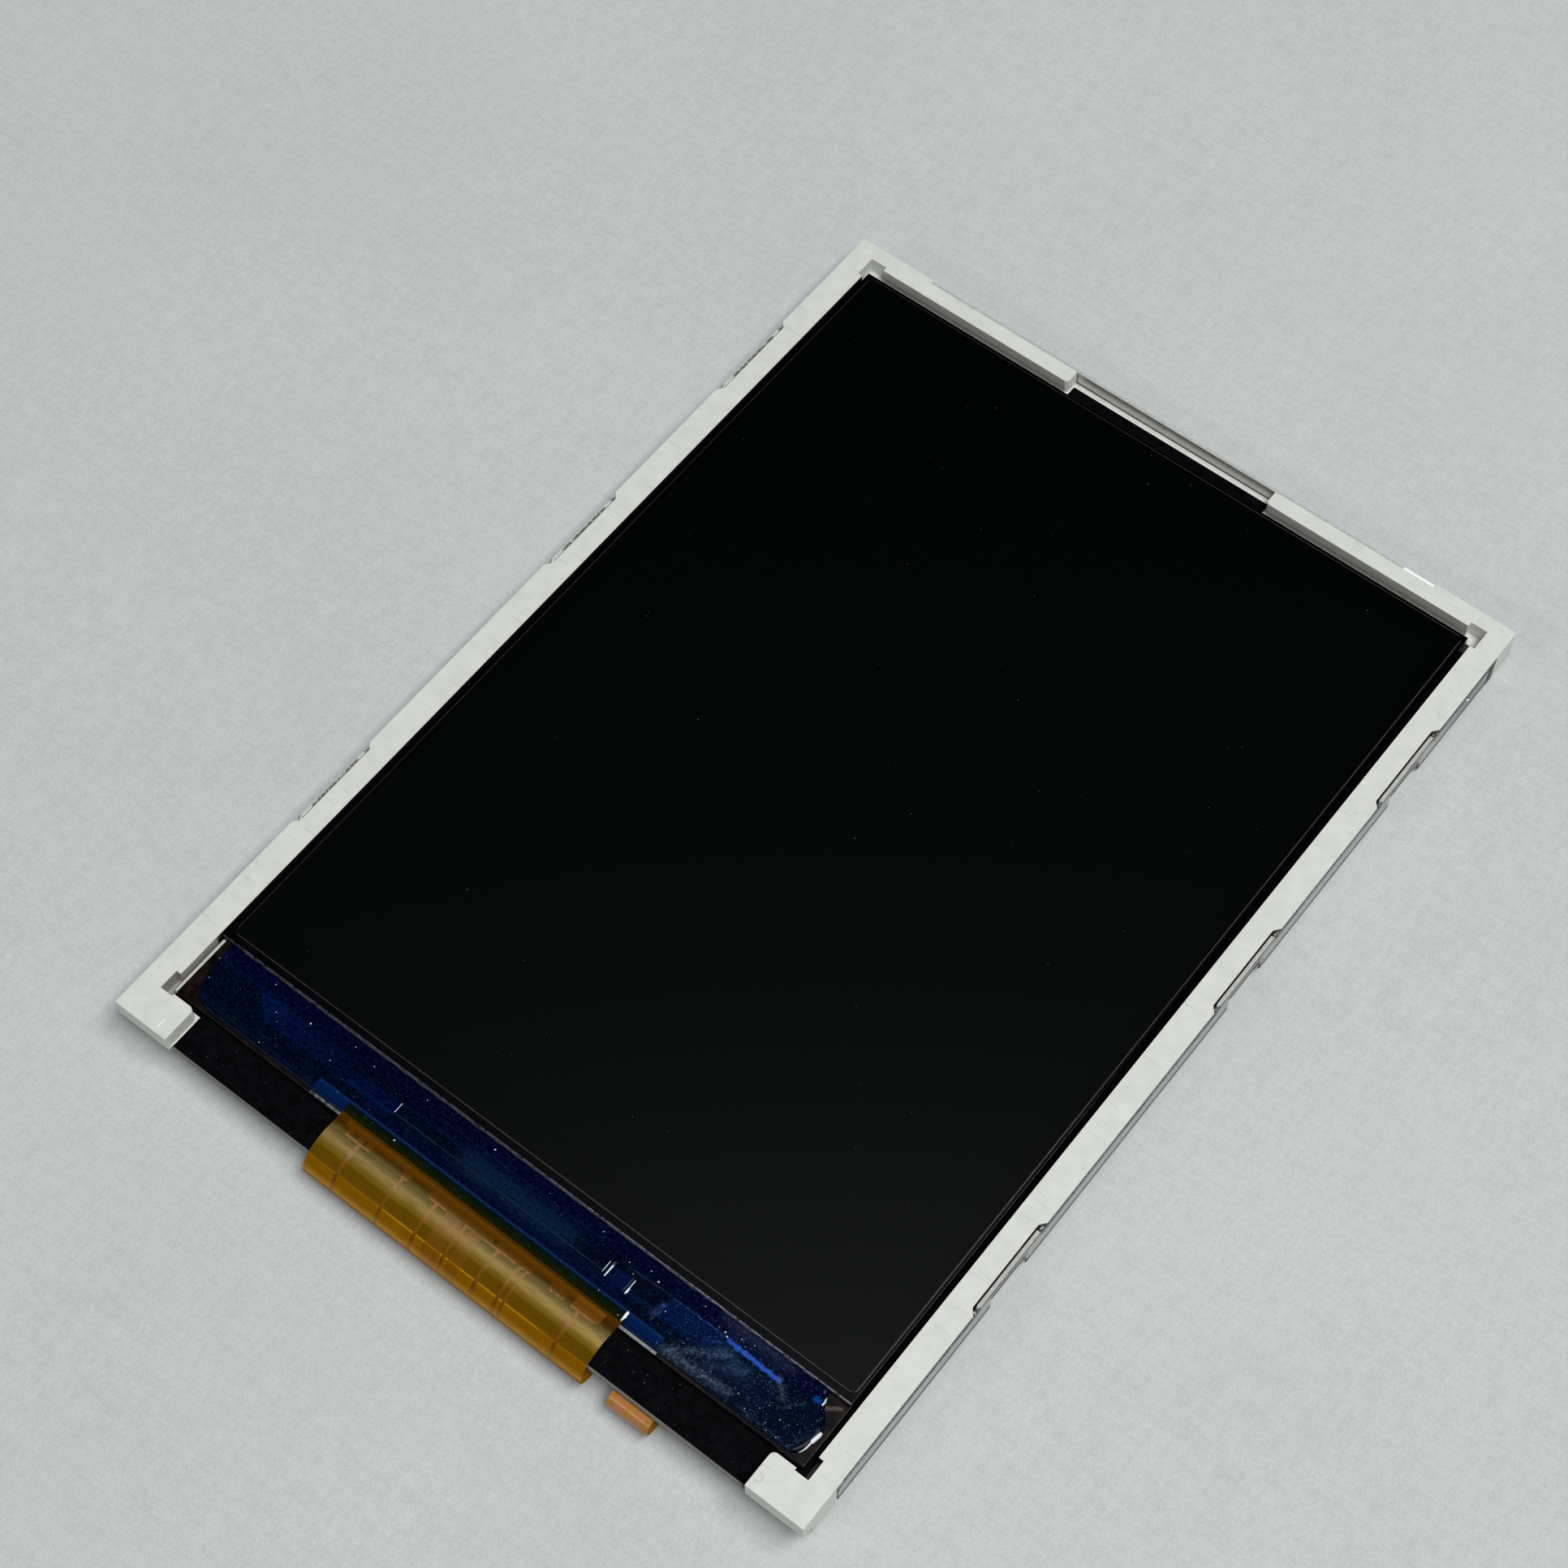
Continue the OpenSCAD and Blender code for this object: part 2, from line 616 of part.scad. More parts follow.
module main_flex()
    color([0.78, 0.50, 0.08]) intersection() {
        across([-half_w, half_w]) flex_section();
        translate([0, 0, -beyond]) linear_extrude(top_z + 2 * beyond) flex_plan();
    }

module flex_adhesive()
    color([0.85, 0.85, 0.80])
        slab([flex_x - flex_w / 2 + flex_margin, flex_x + flex_w / 2 - flex_margin],
             [max(floor_near, fold_back) + flex_margin, body_far - flex_margin], [-flex_tape_t, 0]);

module tail_stiffener()
    color([0.55, 0.36, 0.12])
        slab([flex_x - tail_w / 2, flex_x + tail_w / 2], [stiffener_near, tail_far], [-stiffener_t, 0]);

module tail_contacts()
    color([0.85, 0.65, 0.25]) for (i = [0 : contact_count - 1])
        translate([flex_x + (i - (contact_count - 1) / 2) * contact_pitch, 0, 0])
            slab([-contact_w / 2, contact_w / 2], [tail_far - contact_l, tail_far],
                 [-stiffener_t - flex_t - contact_t, -stiffener_t - flex_t]);

// Capacitors stand in two rows on the outside of the folded flex
module chip_capacitor(i) {
    columns = capacitor_count / 2;
    column = i % columns;
    row = floor(i / columns);
    x = flex_x + (column - (columns - 1) / 2) * flex_w / columns;
    y = body_near + flex_body_l * (row + 1) / 3;
    color([0.55, 0.42, 0.30])
        translate([x - capacitor[0] / 2, y - capacitor[1] / 2, under_z - capacitor[2]]) cube(capacitor);
}

rear_tray();
moulded_frame();
reflector_sheet();
light_guide();
diffuser_sheet();
prism_sheet(0);  // lower_prism_sheet
prism_sheet(1);  // upper_prism_sheet
for (i = [1 : led_count]) led(i - 1);
backlight_flex();
backlight_solder();
rim_tape();
rear_polarizer();
array_glass();
filter_glass();
front_polarizer();
driver_chip();
bonding_film();
ledge_gel();
main_flex();
flex_adhesive();
tail_stiffener();
tail_contacts();
for (i = [1 : capacitor_count])
    chip_capacitor(i - 1);
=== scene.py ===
# %% [markdown]
# # A small colour screen module
# The solids come ready made and in place. This lesson dresses them: it lights them, rounds their
# edges, gives each one its finish, and adds what is too fine for the solids, such as copper traces,
# the poured blue gel and specks of dust.

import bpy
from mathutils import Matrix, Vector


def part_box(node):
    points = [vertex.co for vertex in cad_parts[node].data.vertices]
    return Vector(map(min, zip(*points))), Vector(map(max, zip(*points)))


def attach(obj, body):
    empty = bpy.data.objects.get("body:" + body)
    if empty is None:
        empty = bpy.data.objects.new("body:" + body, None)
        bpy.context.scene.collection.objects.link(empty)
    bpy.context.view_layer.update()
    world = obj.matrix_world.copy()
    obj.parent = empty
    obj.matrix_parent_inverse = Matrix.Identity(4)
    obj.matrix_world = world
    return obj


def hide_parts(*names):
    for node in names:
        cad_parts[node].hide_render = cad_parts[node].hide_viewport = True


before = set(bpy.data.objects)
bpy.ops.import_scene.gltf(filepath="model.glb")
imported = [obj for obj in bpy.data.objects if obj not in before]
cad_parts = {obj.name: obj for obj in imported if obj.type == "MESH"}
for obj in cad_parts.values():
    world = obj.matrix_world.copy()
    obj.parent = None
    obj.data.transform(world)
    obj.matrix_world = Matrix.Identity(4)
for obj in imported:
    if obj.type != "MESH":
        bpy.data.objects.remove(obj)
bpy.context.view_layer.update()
print("solids loaded:", len(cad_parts), "nodes")

# %% Tools and units
import math

import bmesh
import bpy
from mathutils import Matrix, Vector

MM = 0.001
scene = bpy.context.scene
scene.view_settings.view_transform = "Standard"


def light_of(card):
    """A paint card's red, green and blue, 0 to 255 each, turned into light amounts."""
    shares = [v / 255 for v in card]
    return tuple(v / 12.92 if v <= 0.04045 else ((v + 0.055) / 1.055) ** 2.4 for v in shares) + (1.0,)


def share(value):
    """The value, kept between 0 and 1."""
    return min(max(value, 0.0), 1.0)


def put_in_scene(name, data):
    """A new object that shows a mesh, a lamp or a camera."""
    thing = bpy.data.objects.new(name, data)
    scene.collection.objects.link(thing)
    return thing


def box_mm(node):
    """Lowest and highest corner of a solid, in millimetres."""
    low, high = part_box(node)
    return [v / MM for v in low], [v / MM for v in high]


# %% [markdown]
# ## Camera
# The camera stands high at the near right corner. Its place and the three directions that it is
# turned to are written as numbers, because one exact matrix is simpler than three angles.

# %% Camera
camera_place = Vector((48.070, -63.593, 144.143)) * MM
to_right = Vector((0.7861696, 0.6179550, -0.0083068))
to_top = Vector((-0.5328760, 0.6846165, 0.4973363))
to_back = Vector((0.3130184, -0.3865642, 0.8675181))

eye = bpy.data.cameras.new("studio_camera")
eye.lens = 74.02
eye.sensor_width = 36.0
eye.clip_start = 0.005
eye.clip_end = 20.0
camera = put_in_scene("studio_camera", eye)
turn = Matrix((to_right, to_top, to_back)).transposed().to_4x4()
camera.matrix_world = Matrix.Translation(camera_place) @ turn
scene.camera = camera
print("camera is", round(camera_place.length / MM), "mm from the middle of the module")

# %% [markdown]
# ## Wiring nodes by writing sums
# Materials and geometry trees are both nets of nodes. A small class stands for one output, so that
# a plain sum such as `1 - mask * 0.5` adds the nodes that work it out.

# %% Node helpers


class Wire:
    """One output of a node tree. Sums on it add Math nodes."""

    def __init__(self, board, socket):
        self.board, self.socket = board, socket

    def math(self, operation, *values, clamp=False):
        settings = {"operation": operation, "use_clamp": clamp}
        return self.board.node("ShaderNodeMath", settings, dict(enumerate(values)))

    def __add__(self, other): return self.math("ADD", self, other)
    def __sub__(self, other): return self.math("SUBTRACT", self, other)
    def __rsub__(self, other): return self.math("SUBTRACT", other, self)
    def __mul__(self, other): return self.math("MULTIPLY", self, other)
    def __truediv__(self, other): return self.math("DIVIDE", self, other)
    def __pow__(self, other): return self.math("POWER", self, other)
    def wave(self): return self.math("SINE", self)
    def size(self): return self.math("ABSOLUTE", self)
    def root(self): return self.math("SQRT", self)
    def least(self, other): return self.math("MINIMUM", self, other)
    def most(self, other): return self.math("MAXIMUM", self, other)
    def kept(self): return self.math("ADD", self, 0.0, clamp=True)
    __radd__, __rmul__ = __add__, __mul__

    def rise(self, at, soft=0.05):
        """0 below `at` and 1 above it, with a soft step between."""
        values = {"Value": self, "From Min": at - soft / 2, "From Max": at + soft / 2}
        return self.board.node("ShaderNodeMapRange", {"interpolation_type": "SMOOTHSTEP"}, values)

    def within(self, low, high, soft=0.05):
        """1 between two values and 0 outside them."""
        return self.rise(low, soft) * (1 - self.rise(high, soft))


class Board:
    """A node tree that is being wired."""

    def __init__(self, tree):
        self.tree = tree

    def node(self, kind, settings=None, inputs=None, output=0):
        made = self.tree.nodes.new(kind)
        for name, value in (settings or {}).items():
            if name == "stops":
                self.fill_ramp(made.color_ramp, value)
            else:
                setattr(made, name, value)
        for key, value in (inputs or {}).items():
            if isinstance(value, Wire):
                self.tree.links.new(value.socket, made.inputs[key])
            else:
                made.inputs[key].default_value = value
        return Wire(self, made.outputs[output])

    def fill_ramp(self, ramp, stops):
        """Stops are made in rising order, at their final places."""
        ramp.elements.remove(ramp.elements[1])
        first = ramp.elements[0]
        first.position, first.color = stops[0]
        for place, colour in stops[1:]:
            ramp.elements.new(place).color = colour


class Finish(Board):
    """A material: one Principled shader, and the patterns that feed it."""

    def __init__(self, name, **values):
        self.material = bpy.data.materials.new(name)
        self.material.use_nodes = True
        super().__init__(self.material.node_tree)
        self.tree.nodes.clear()
        self.shader = self.tree.nodes.new("ShaderNodeBsdfPrincipled")
        out = self.tree.nodes.new("ShaderNodeOutputMaterial")
        self.tree.links.new(self.shader.outputs[0], out.inputs[0])
        for key, value in values.items():
            self.feed(key.replace("_", " "), value)
        place = self.node("ShaderNodeTexCoord", output=3)
        scaled = {"operation": "SCALE"}
        self.place = self.node("ShaderNodeVectorMath", scaled, {0: place, "Scale": 1 / MM})
        self.x, self.y, self.z = [self.node("ShaderNodeSeparateXYZ", None, {0: self.place}, i)
                                  for i in range(3)]

    def feed(self, key, value):
        socket = self.shader.inputs[key]
        if isinstance(value, Wire):
            self.tree.links.new(value.socket, socket)
        else:
            socket.default_value = value

    def noise(self, per_mm, detail=2.0, stretch=(1, 1, 1), shift=0.0):
        """Cloudy noise between 0 and 1, with its grain given in cycles a millimetre."""
        inputs = {0: self.place, 1: stretch, 2: (shift, shift, shift)}
        spot = self.node("ShaderNodeVectorMath", {"operation": "MULTIPLY_ADD"}, inputs)
        return self.node("ShaderNodeTexNoise", None, {"Vector": spot, "Scale": per_mm, "Detail": detail})

    def mix(self, factor, first, second):
        """Two colours mixed. Each is a pattern, or three numbers from a paint card."""
        first, second = [light_of(c) if isinstance(c, tuple) else c for c in (first, second)]
        settings = {"data_type": "RGBA", "clamp_factor": True}
        return self.node("ShaderNodeMix", settings, {0: factor, 6: first, 7: second}, 2)

    def paint(self, factor, card):
        """Lay a colour over what the finish has so far, where the factor is above 0."""
        self.colour = self.mix(factor, self.colour, card)

    def ramp(self, value, *stops):
        """Colours along a value. Each stop is a place and a paint card."""
        stops = [(place, light_of(card)) for place, card in stops]
        return self.node("ShaderNodeValToRGB", {"stops": stops}, {0: value})

    def shades(self, value, low, high):
        """From one paint card to the other while the value goes from 0.3 to 0.7."""
        return self.ramp(value, (0.3, low), (0.7, high))

    def relief(self, height, depth_mm):
        """Bump whose full height is given in millimetres."""
        inputs = {"Height": height, "Distance": depth_mm * MM, "Strength": 1.0}
        self.feed("Normal", self.node("ShaderNodeBump", None, inputs))

    def settle(self, height, depth_mm):
        """Feed the colour so far to the shader, and add the bump."""
        self.feed("Base Color", self.colour)
        self.relief(height, depth_mm)

    def patch(self, across, along, soft=0.05):
        """1 inside a rectangle given by its limits in X and Y."""
        return self.x.within(*across, soft) * self.y.within(*along, soft)

    def from_line(self, start, end):
        """Distance in millimetres from a straight line between two points, seen from above."""
        run = (end[0] - start[0], end[1] - start[1])
        length = math.hypot(*run)
        east, north = self.x - start[0], self.y - start[1]
        along = (east * (run[0] / length) + north * (run[1] / length)).most(0.0).least(length)
        away = east - along * (run[0] / length), north - along * (run[1] / length)
        return (away[0] * away[0] + away[1] * away[1]).root()

    def attribute(self, name):
        return self.node("ShaderNodeAttribute", {"attribute_name": name}, output=2)


print("node helpers ready")

# %% [markdown]
# ## Floor and light
# The module lies on a sheet of pale paper. It stands on the parts behind it and on the far edge of
# its tray, so the sheet slopes by about half a degree against the tray. A long soft lamp hangs high
# on the right, and a weak one fills the shade on the near side. The room is dim at mid height and
# has a pale ceiling, and shiny faces show that.

# %% Paper
standing_low, standing_high = box_mm("capacitor_8")
tray_high = box_mm("rear_tray")[1]
near_touch = (standing_high[1], standing_low[2])
tray_fold = 0.35
far_touch = (tray_high[1] - tray_fold, 0.0)
slope = (far_touch[1] - near_touch[1]) / (far_touch[0] - near_touch[0])
reach = 2500.0


def floor_z(y):
    return near_touch[1] + slope * (y - near_touch[0])


corner_spots = ((-reach, -reach), (reach, -reach), (reach, reach), (-reach, reach))
corners = [(x, y, floor_z(y)) for x, y in corner_spots]
sheet = bpy.data.meshes.new("paper_sheet")
sheet.from_pydata([[v * MM for v in c] for c in corners], [], [(0, 1, 2, 3)])
paper = put_in_scene("paper_sheet", sheet)

paper_finish = Finish("pale_paper", Roughness=0.95, Specular_IOR_Level=0.15)
pulp = paper_finish.noise(7.0, 4.0)
fibres_across = paper_finish.noise(3.0, 3.0, (0.25, 1.0, 1), 9.0)
fibres = paper_finish.noise(3.0, 3.0, (1.0, 0.25, 1)) * 0.5 + fibres_across * 0.5
clouds = paper_finish.noise(0.05, 3.0)
tone = 0.5 + (pulp - 0.5) * 0.5 + (fibres - 0.5) * 0.5 + (clouds - 0.5) * 0.2
paper_finish.colour = paper_finish.shades(tone, (180, 184, 184), (200, 204, 204))
paper_finish.settle(pulp + fibres, 0.03)
sheet.materials.append(paper_finish.material)
print("paper slopes by", round(math.degrees(math.atan(slope)), 2), "degrees")

# %% Room light
world = bpy.data.worlds.new("soft_room")
scene.world = world
world.use_nodes = True
world.node_tree.nodes.clear()
room = Board(world.node_tree)
direction = room.node("ShaderNodeTexCoord")
height = room.node("ShaderNodeSeparateXYZ", None, {0: direction}, 2)


def grey(value):
    return (value, value * 1.01, value * 1.02, 1.0)


# From straight down (0) to straight up (1): pale paper, dim walls, bright ceiling.
brightness = [(0.00, 0.30), (0.30, 0.10), (0.60, 0.020), (0.80, 0.015), (0.87, 0.04),
              (0.915, 0.13), (0.94, 0.28), (0.97, 0.6), (1.0, 0.9)]
around = [(place, grey(value)) for place, value in brightness]
seen = room.node("ShaderNodeValToRGB", {"stops": around}, {0: height})
backdrop = room.node("ShaderNodeBackground", None, {"Color": seen, "Strength": 1.0})
out = world.node_tree.nodes.new("ShaderNodeOutputWorld")
world.node_tree.links.new(backdrop.socket, out.inputs[0])


def lamp(name, place, long, wide, power, colour=(1, 1, 1)):
    """A soft oblong lamp that faces the middle of the module."""
    light = bpy.data.lights.new(name, "AREA")
    light.shape = "RECTANGLE"
    light.size, light.size_y, light.energy, light.color = long, wide, power, colour
    holder = put_in_scene(name, light)
    holder.location = place
    holder.rotation_euler = (-Vector(place)).to_track_quat("-Z", "Y").to_euler()
    return holder


key_side = Vector((0.38, 0.0, 0.92)).normalized()
near_side = Vector((-0.313, -0.754, 0.572)).normalized()
key = lamp("high_lamp", key_side * 0.70, 0.55, 0.24, 4.95, (1.0, 1.0, 0.995))
fill = lamp("near_lamp", near_side * 0.80, 0.20, 0.10, 0.7)
print("lamps:", key.name, "and", fill.name)

# %% [markdown]
# ## Softening the solids' edges
# No moulded or stamped edge is perfectly sharp, and it is the thin round on it that catches light.
# A copy of a solid is merged, its flat faces are joined, and a Bevel modifier rounds its edges. A
# Weighted Normal modifier then keeps the large faces flat, so that they reflect like a mirror and
# only the rounds bend the light.

# %% Edge helpers


def add_piece(name, mesh, finish, stands_for=()):
    """A piece of the module, which moves with it and may be shown in place of solids."""
    piece = put_in_scene(name, mesh)
    mesh.materials.clear()
    mesh.materials.append(finish.material)
    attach(piece, "root")
    if stands_for:
        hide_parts(*stands_for)
    print("piece", name, len(mesh.polygons), "faces")
    return piece


def evaluated(thing):
    """The mesh that an object's modifiers give, as a plain mesh. The object is removed."""
    graph = bpy.context.evaluated_depsgraph_get()
    mesh = bpy.data.meshes.new_from_object(thing.evaluated_get(graph), depsgraph=graph)
    bpy.data.objects.remove(thing)
    return mesh


def merged_copy(node):
    """A solid's mesh without doubled points, and with its flat faces joined."""
    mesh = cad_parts[node].data.copy()
    work = bmesh.new()
    work.from_mesh(mesh)
    bmesh.ops.remove_doubles(work, verts=work.verts, dist=0.0005 * MM)
    bmesh.ops.dissolve_limit(work, angle_limit=math.radians(0.5), verts=work.verts, edges=work.edges)
    work.to_mesh(mesh)
    work.free()
    return mesh


def shade_smooth(mesh, sharp_degrees=None):
    """Shade a mesh smooth, apart from the edges that turn by more than the angle."""
    mesh.polygons.foreach_set("use_smooth", [True] * len(mesh.polygons))
    if sharp_degrees:
        mesh.set_sharp_from_angle(angle=math.radians(sharp_degrees))
    return mesh


def softened(node, round_mm, segments=2):
    """A copy of a solid with its edges rounded."""
    holder = put_in_scene("softening", shade_smooth(merged_copy(node)))
    bevel = holder.modifiers.new("edges", "BEVEL")
    bevel.width = round_mm * MM
    bevel.segments = segments
    bevel.limit_method = "ANGLE"
    bevel.angle_limit = math.radians(40)
    bevel.use_clamp_overlap = True
    flat_first = holder.modifiers.new("flat_first", "WEIGHTED_NORMAL")
    flat_first.weight = 100
    return evaluated(holder)


def smoothed(node):
    """A copy of a solid whose fine bends are shaded smooth."""
    return shade_smooth(merged_copy(node), 30)


def plain_mesh(name, points, faces, edges=()):
    """A mesh from points in millimetres."""
    mesh = bpy.data.meshes.new(name)
    mesh.from_pydata([[v * MM for v in p] for p in points], list(edges), faces)
    return mesh


def joined(name, meshes):
    """Several meshes as one."""
    work = bmesh.new()
    for mesh in meshes:
        work.from_mesh(mesh)
    whole = bpy.data.meshes.new(name)
    work.to_mesh(whole)
    work.free()
    return whole


print("edge helpers ready")

# %% [markdown]
# ## Recipes for what repeats
# Geometry Nodes make rows of copper, dust and solder. A recipe is one tree with named sizes. It is
# put on a starting mesh, its sizes are set, and the result is kept as a plain mesh.

# %% Recipe class


class Recipe(Board):
    """A Geometry Nodes tree whose sizes have names."""

    def __init__(self, name, **sizes):
        super().__init__(bpy.data.node_groups.new(name, "GeometryNodeTree"))
        self.keys = {}
        for key, kind in {"Geometry": "Geometry", **sizes, "Surface": "Material"}.items():
            self.keys[key] = self.socket(key, "INPUT", kind)
        self.socket("Geometry", "OUTPUT", "Geometry")
        start = self.tree.nodes.new("NodeGroupInput")
        *self.given, self.surface = [Wire(self, start.outputs[key]) for key in self.keys]

    def socket(self, name, side, kind):
        """Add an input or output of the tree, and give its identifier."""
        made = self.tree.interface.new_socket(name=name, in_out=side, socket_type="NodeSocket" + kind)
        return made.identifier

    def along_x(self, length):
        return self.node("ShaderNodeCombineXYZ", None, {0: length})

    def serve(self, points, shape, **turns):
        """The end of every tree: the shape on each point, as real faces with their material."""
        placed = self.node("GeometryNodeInstanceOnPoints", None,
                           {"Points": points, "Instance": shape, **turns})
        real = self.node("GeometryNodeRealizeInstances", None, {0: placed})
        dressed = self.node("GeometryNodeSetMaterial", None,
                            {"Geometry": real, "Material": self.surface})
        end = self.tree.nodes.new("NodeGroupOutput")
        self.tree.links.new(dressed.socket, end.inputs[0])

    def cook(self, start, finish, **sizes):
        holder = put_in_scene("cooking", start)
        step = holder.modifiers.new("recipe", "NODES")
        step.node_group = self.tree
        step[self.keys["Surface"]] = finish.material
        for key, value in sizes.items():
            step[self.keys[key]] = value
        return evaluated(holder)


print("recipe class ready")

# %% Ribbon rows, specks and blocks
# A ribbon row draws a path out sideways into a ribbon, and repeats it at an even pitch.
ribbon_row = Recipe("ribbon_row", First="Float", Width="Float", Pitch="Float", Count="Int")
path, first, width, pitch, count = ribbon_row.given
ribbon = ribbon_row.node("GeometryNodeExtrudeMesh", {"mode": "EDGES"},
                         {"Mesh": path, "Offset": ribbon_row.along_x(width)})
row_points = ribbon_row.node("GeometryNodeMeshLine", {"mode": "OFFSET"},
                             {"Count": count, "Start Location": ribbon_row.along_x(first),
                              "Offset": ribbon_row.along_x(pitch)})
ribbon_row.serve(row_points, ribbon)

# Specks are small flattened balls, strewn on a surface with fixed seeds.
specks = Recipe("specks", Density="Float", Seed="Int", Smallest="Float", Largest="Float")
surface, density, seed, smallest, largest = specks.given
spots = specks.node("GeometryNodeDistributePointsOnFaces", {"distribute_method": "RANDOM"},
                    {"Mesh": surface, "Density": density, "Seed": seed})
chance = specks.node("FunctionNodeRandomValue", {"data_type": "FLOAT"}, {2: 0.0, 3: 1.0, 8: 5}, 1)
girth = smallest + (largest - smallest) * chance ** 3.0
flattened = specks.node("ShaderNodeCombineXYZ", None, {0: girth, 1: girth * 0.65, 2: girth * 0.35})
turned = specks.node("FunctionNodeRandomValue", {"data_type": "FLOAT_VECTOR"},
                     {0: (0, 0, 0), 1: (0.3, 0.3, 6.28), 8: 6}, 0)
ball = specks.node("GeometryNodeMeshIcoSphere", None, {"Radius": 1.0, "Subdivisions": 1})
specks.serve(spots, ball, Rotation=turned, Scale=flattened)

# A block row repeats a rounded block on the points of the starting mesh.
block_row = Recipe("block_row", Size="Vector", Crease="Float")
places, size, crease = block_row.given
block = block_row.node("GeometryNodeMeshCube", None, {"Size": size})
block = block_row.node("GeometryNodeSubdivisionSurface", None,
                       {"Mesh": block, "Level": 2, "Edge Crease": crease})
block_row.serve(places, block)
print("recipes: ribbon_row, specks, block_row")

# %% A finish with one grain


def simple_finish(name, low, high, roughness, per_mm=3.0, detail=4.0, depth_mm=0.004, **values):
    """A finish with two close shades, mixed by noise, and a fine relief from the same noise."""
    finish = Finish(name, Roughness=roughness, **values)
    texture = finish.noise(per_mm, detail)
    finish.colour = finish.shades(texture, low, high)
    finish.settle(texture, depth_mm)
    return finish


def dress(finish, *nodes):
    """Give solids that stay as they are a finish."""
    for node in nodes:
        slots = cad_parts[node].data.materials
        slots.clear()
        slots.append(finish.material)


print("finish helpers ready")

# %% [markdown]
# ## White moulded frame
# Filled polycarbonate, slightly warm, with the faint mottling of a mould's surface and a few
# scuffs from handling. The solid's edges are rounded, because a mould can't fill a sharp corner.
# Masks paint shade on the walls beside the screen, in the pockets at the ends of the ledge, in the gaps
# under the side lips and on the near lip.

# %% Moulded frame
moulding = Finish("white_moulding", Roughness=0.45)
mottle = moulding.noise(1.2, 4.0)
rub = moulding.noise(0.9, 3.0, (1, 5, 1), 4.0).rise(0.66, 0.05) * moulding.noise(6.0, 2.0)
fine_scratch = moulding.noise(2.2, 2.0, (0.15, 1.6, 1), 2.0).rise(0.70, 0.03)
moulding.colour = moulding.shades(mottle, (203, 206, 198), (212, 215, 207))
moulding.paint((rub * 0.4 + fine_scratch * 0.25).kept(), (168, 170, 165))

# %% Moulded frame: painted shade on walls and gaps, and two marks
from_middle = moulding.x.size()
below_top = 1 - moulding.z.rise(2.25, 0.04)
beside_screen = moulding.y.within(-24.5, 28.6, 0.1) * below_top
beside_ledge = moulding.y.within(-28.2, -24.5, 0.1) * below_top
# Masks for painted shade: the walls beside the screen and the pockets at the ends of the ledge lie in
# shade.
rail_wall_shade = from_middle.within(18.0, 19.885, 0.01) * beside_screen
left_pocket_shade = moulding.x.within(-20.4, -19.0, 0.05) * beside_ledge
right_pocket_shade = moulding.x.within(19.0, 20.4, 0.02) * beside_ledge
nick = 1 - moulding.from_line((-18.77, -29.34), (-18.77, -29.82)).rise(0.045, 0.04)
ring = moulding.from_line((18.24, -29.46), (18.25, -29.46)).within(0.19, 0.25, 0.03)
curl = ring * moulding.x.rise(18.20, 0.1)
# Masks for a painted shadow in the gap under each side lip, where the frame meets the tray, and for
# painted shade on the near lip.
side_gap_shadow = from_middle.rise(21.05, 0.01) * moulding.y.within(-27.2, 28.3, 0.1)
side_gap_shadow = side_gap_shadow * (1 - moulding.z.rise(2.22, 0.05))
near_lip_shade = from_middle.within(-1.0, 17.95, 0.02) * (1 - moulding.y.rise(-29.86, 0.02))
near_lip_shade = near_lip_shade * moulding.z.within(1.05, 1.5, 0.1)
# Painted shade in the left pocket.
moulding.paint(left_pocket_shade * 0.9, (140, 137, 127))
moulding.paint(nick * 0.8, (232, 234, 229))
moulding.paint(curl * 0.55, (166, 169, 163))
# Painted shadow in the side gaps, then painted shade on the near lip.
moulding.paint(side_gap_shadow, (36, 37, 35))
moulding.paint(near_lip_shade, (92, 90, 84))
# Painted shade, nearly black, on the walls beside the screen and in the right pocket.
moulding.paint((rail_wall_shade + right_pocket_shade).kept(), (9, 9, 9))
moulding.settle(moulding.noise(7.0, 3.0) + moulding.noise(0.8, 2.0) * 2, 0.010)
add_piece("white_frame", softened("moulded_frame", 0.07, 3), moulding,
          ["moulded_frame"])

# %% [markdown]
# ## Steel tray
# Thin stainless sheet, sheared and folded. The grain of the rolled sheet runs along the module.
# The sheared edges are matt and have small burrs. Painted shade darkens the foot of each fold, the side
# walls towards the far end, the wall tops under the frame's lip and the inner half of the left tabs, and
# a painted highlight lies on the far wall's top edge.

# %% Steel tray
steel = Finish("rolled_stainless")
tray_side, wall_top, tab_top = tray_high[0], 1.95, 2.20
steel_x = steel.x.size()
grain = steel.noise(9.0, 3.0, (1, 0.06, 1))
smear = steel.noise(0.35, 3.0)
burrs = steel.noise(8.0, 2.0, (1, 1, 0.2)).rise(0.55, 0.1)
steel.colour = steel.shades(grain * 0.6 + smear * 0.4, (180, 180, 178), (212, 211, 208))

# %% Steel tray: painted shade at folds and edges
# The tops of the walls step up at three tabs a side, so the painted shadow line that follows them does
# too.
tab_middles, half_tab = (-14.4, 5.3, 19.8), 2.48
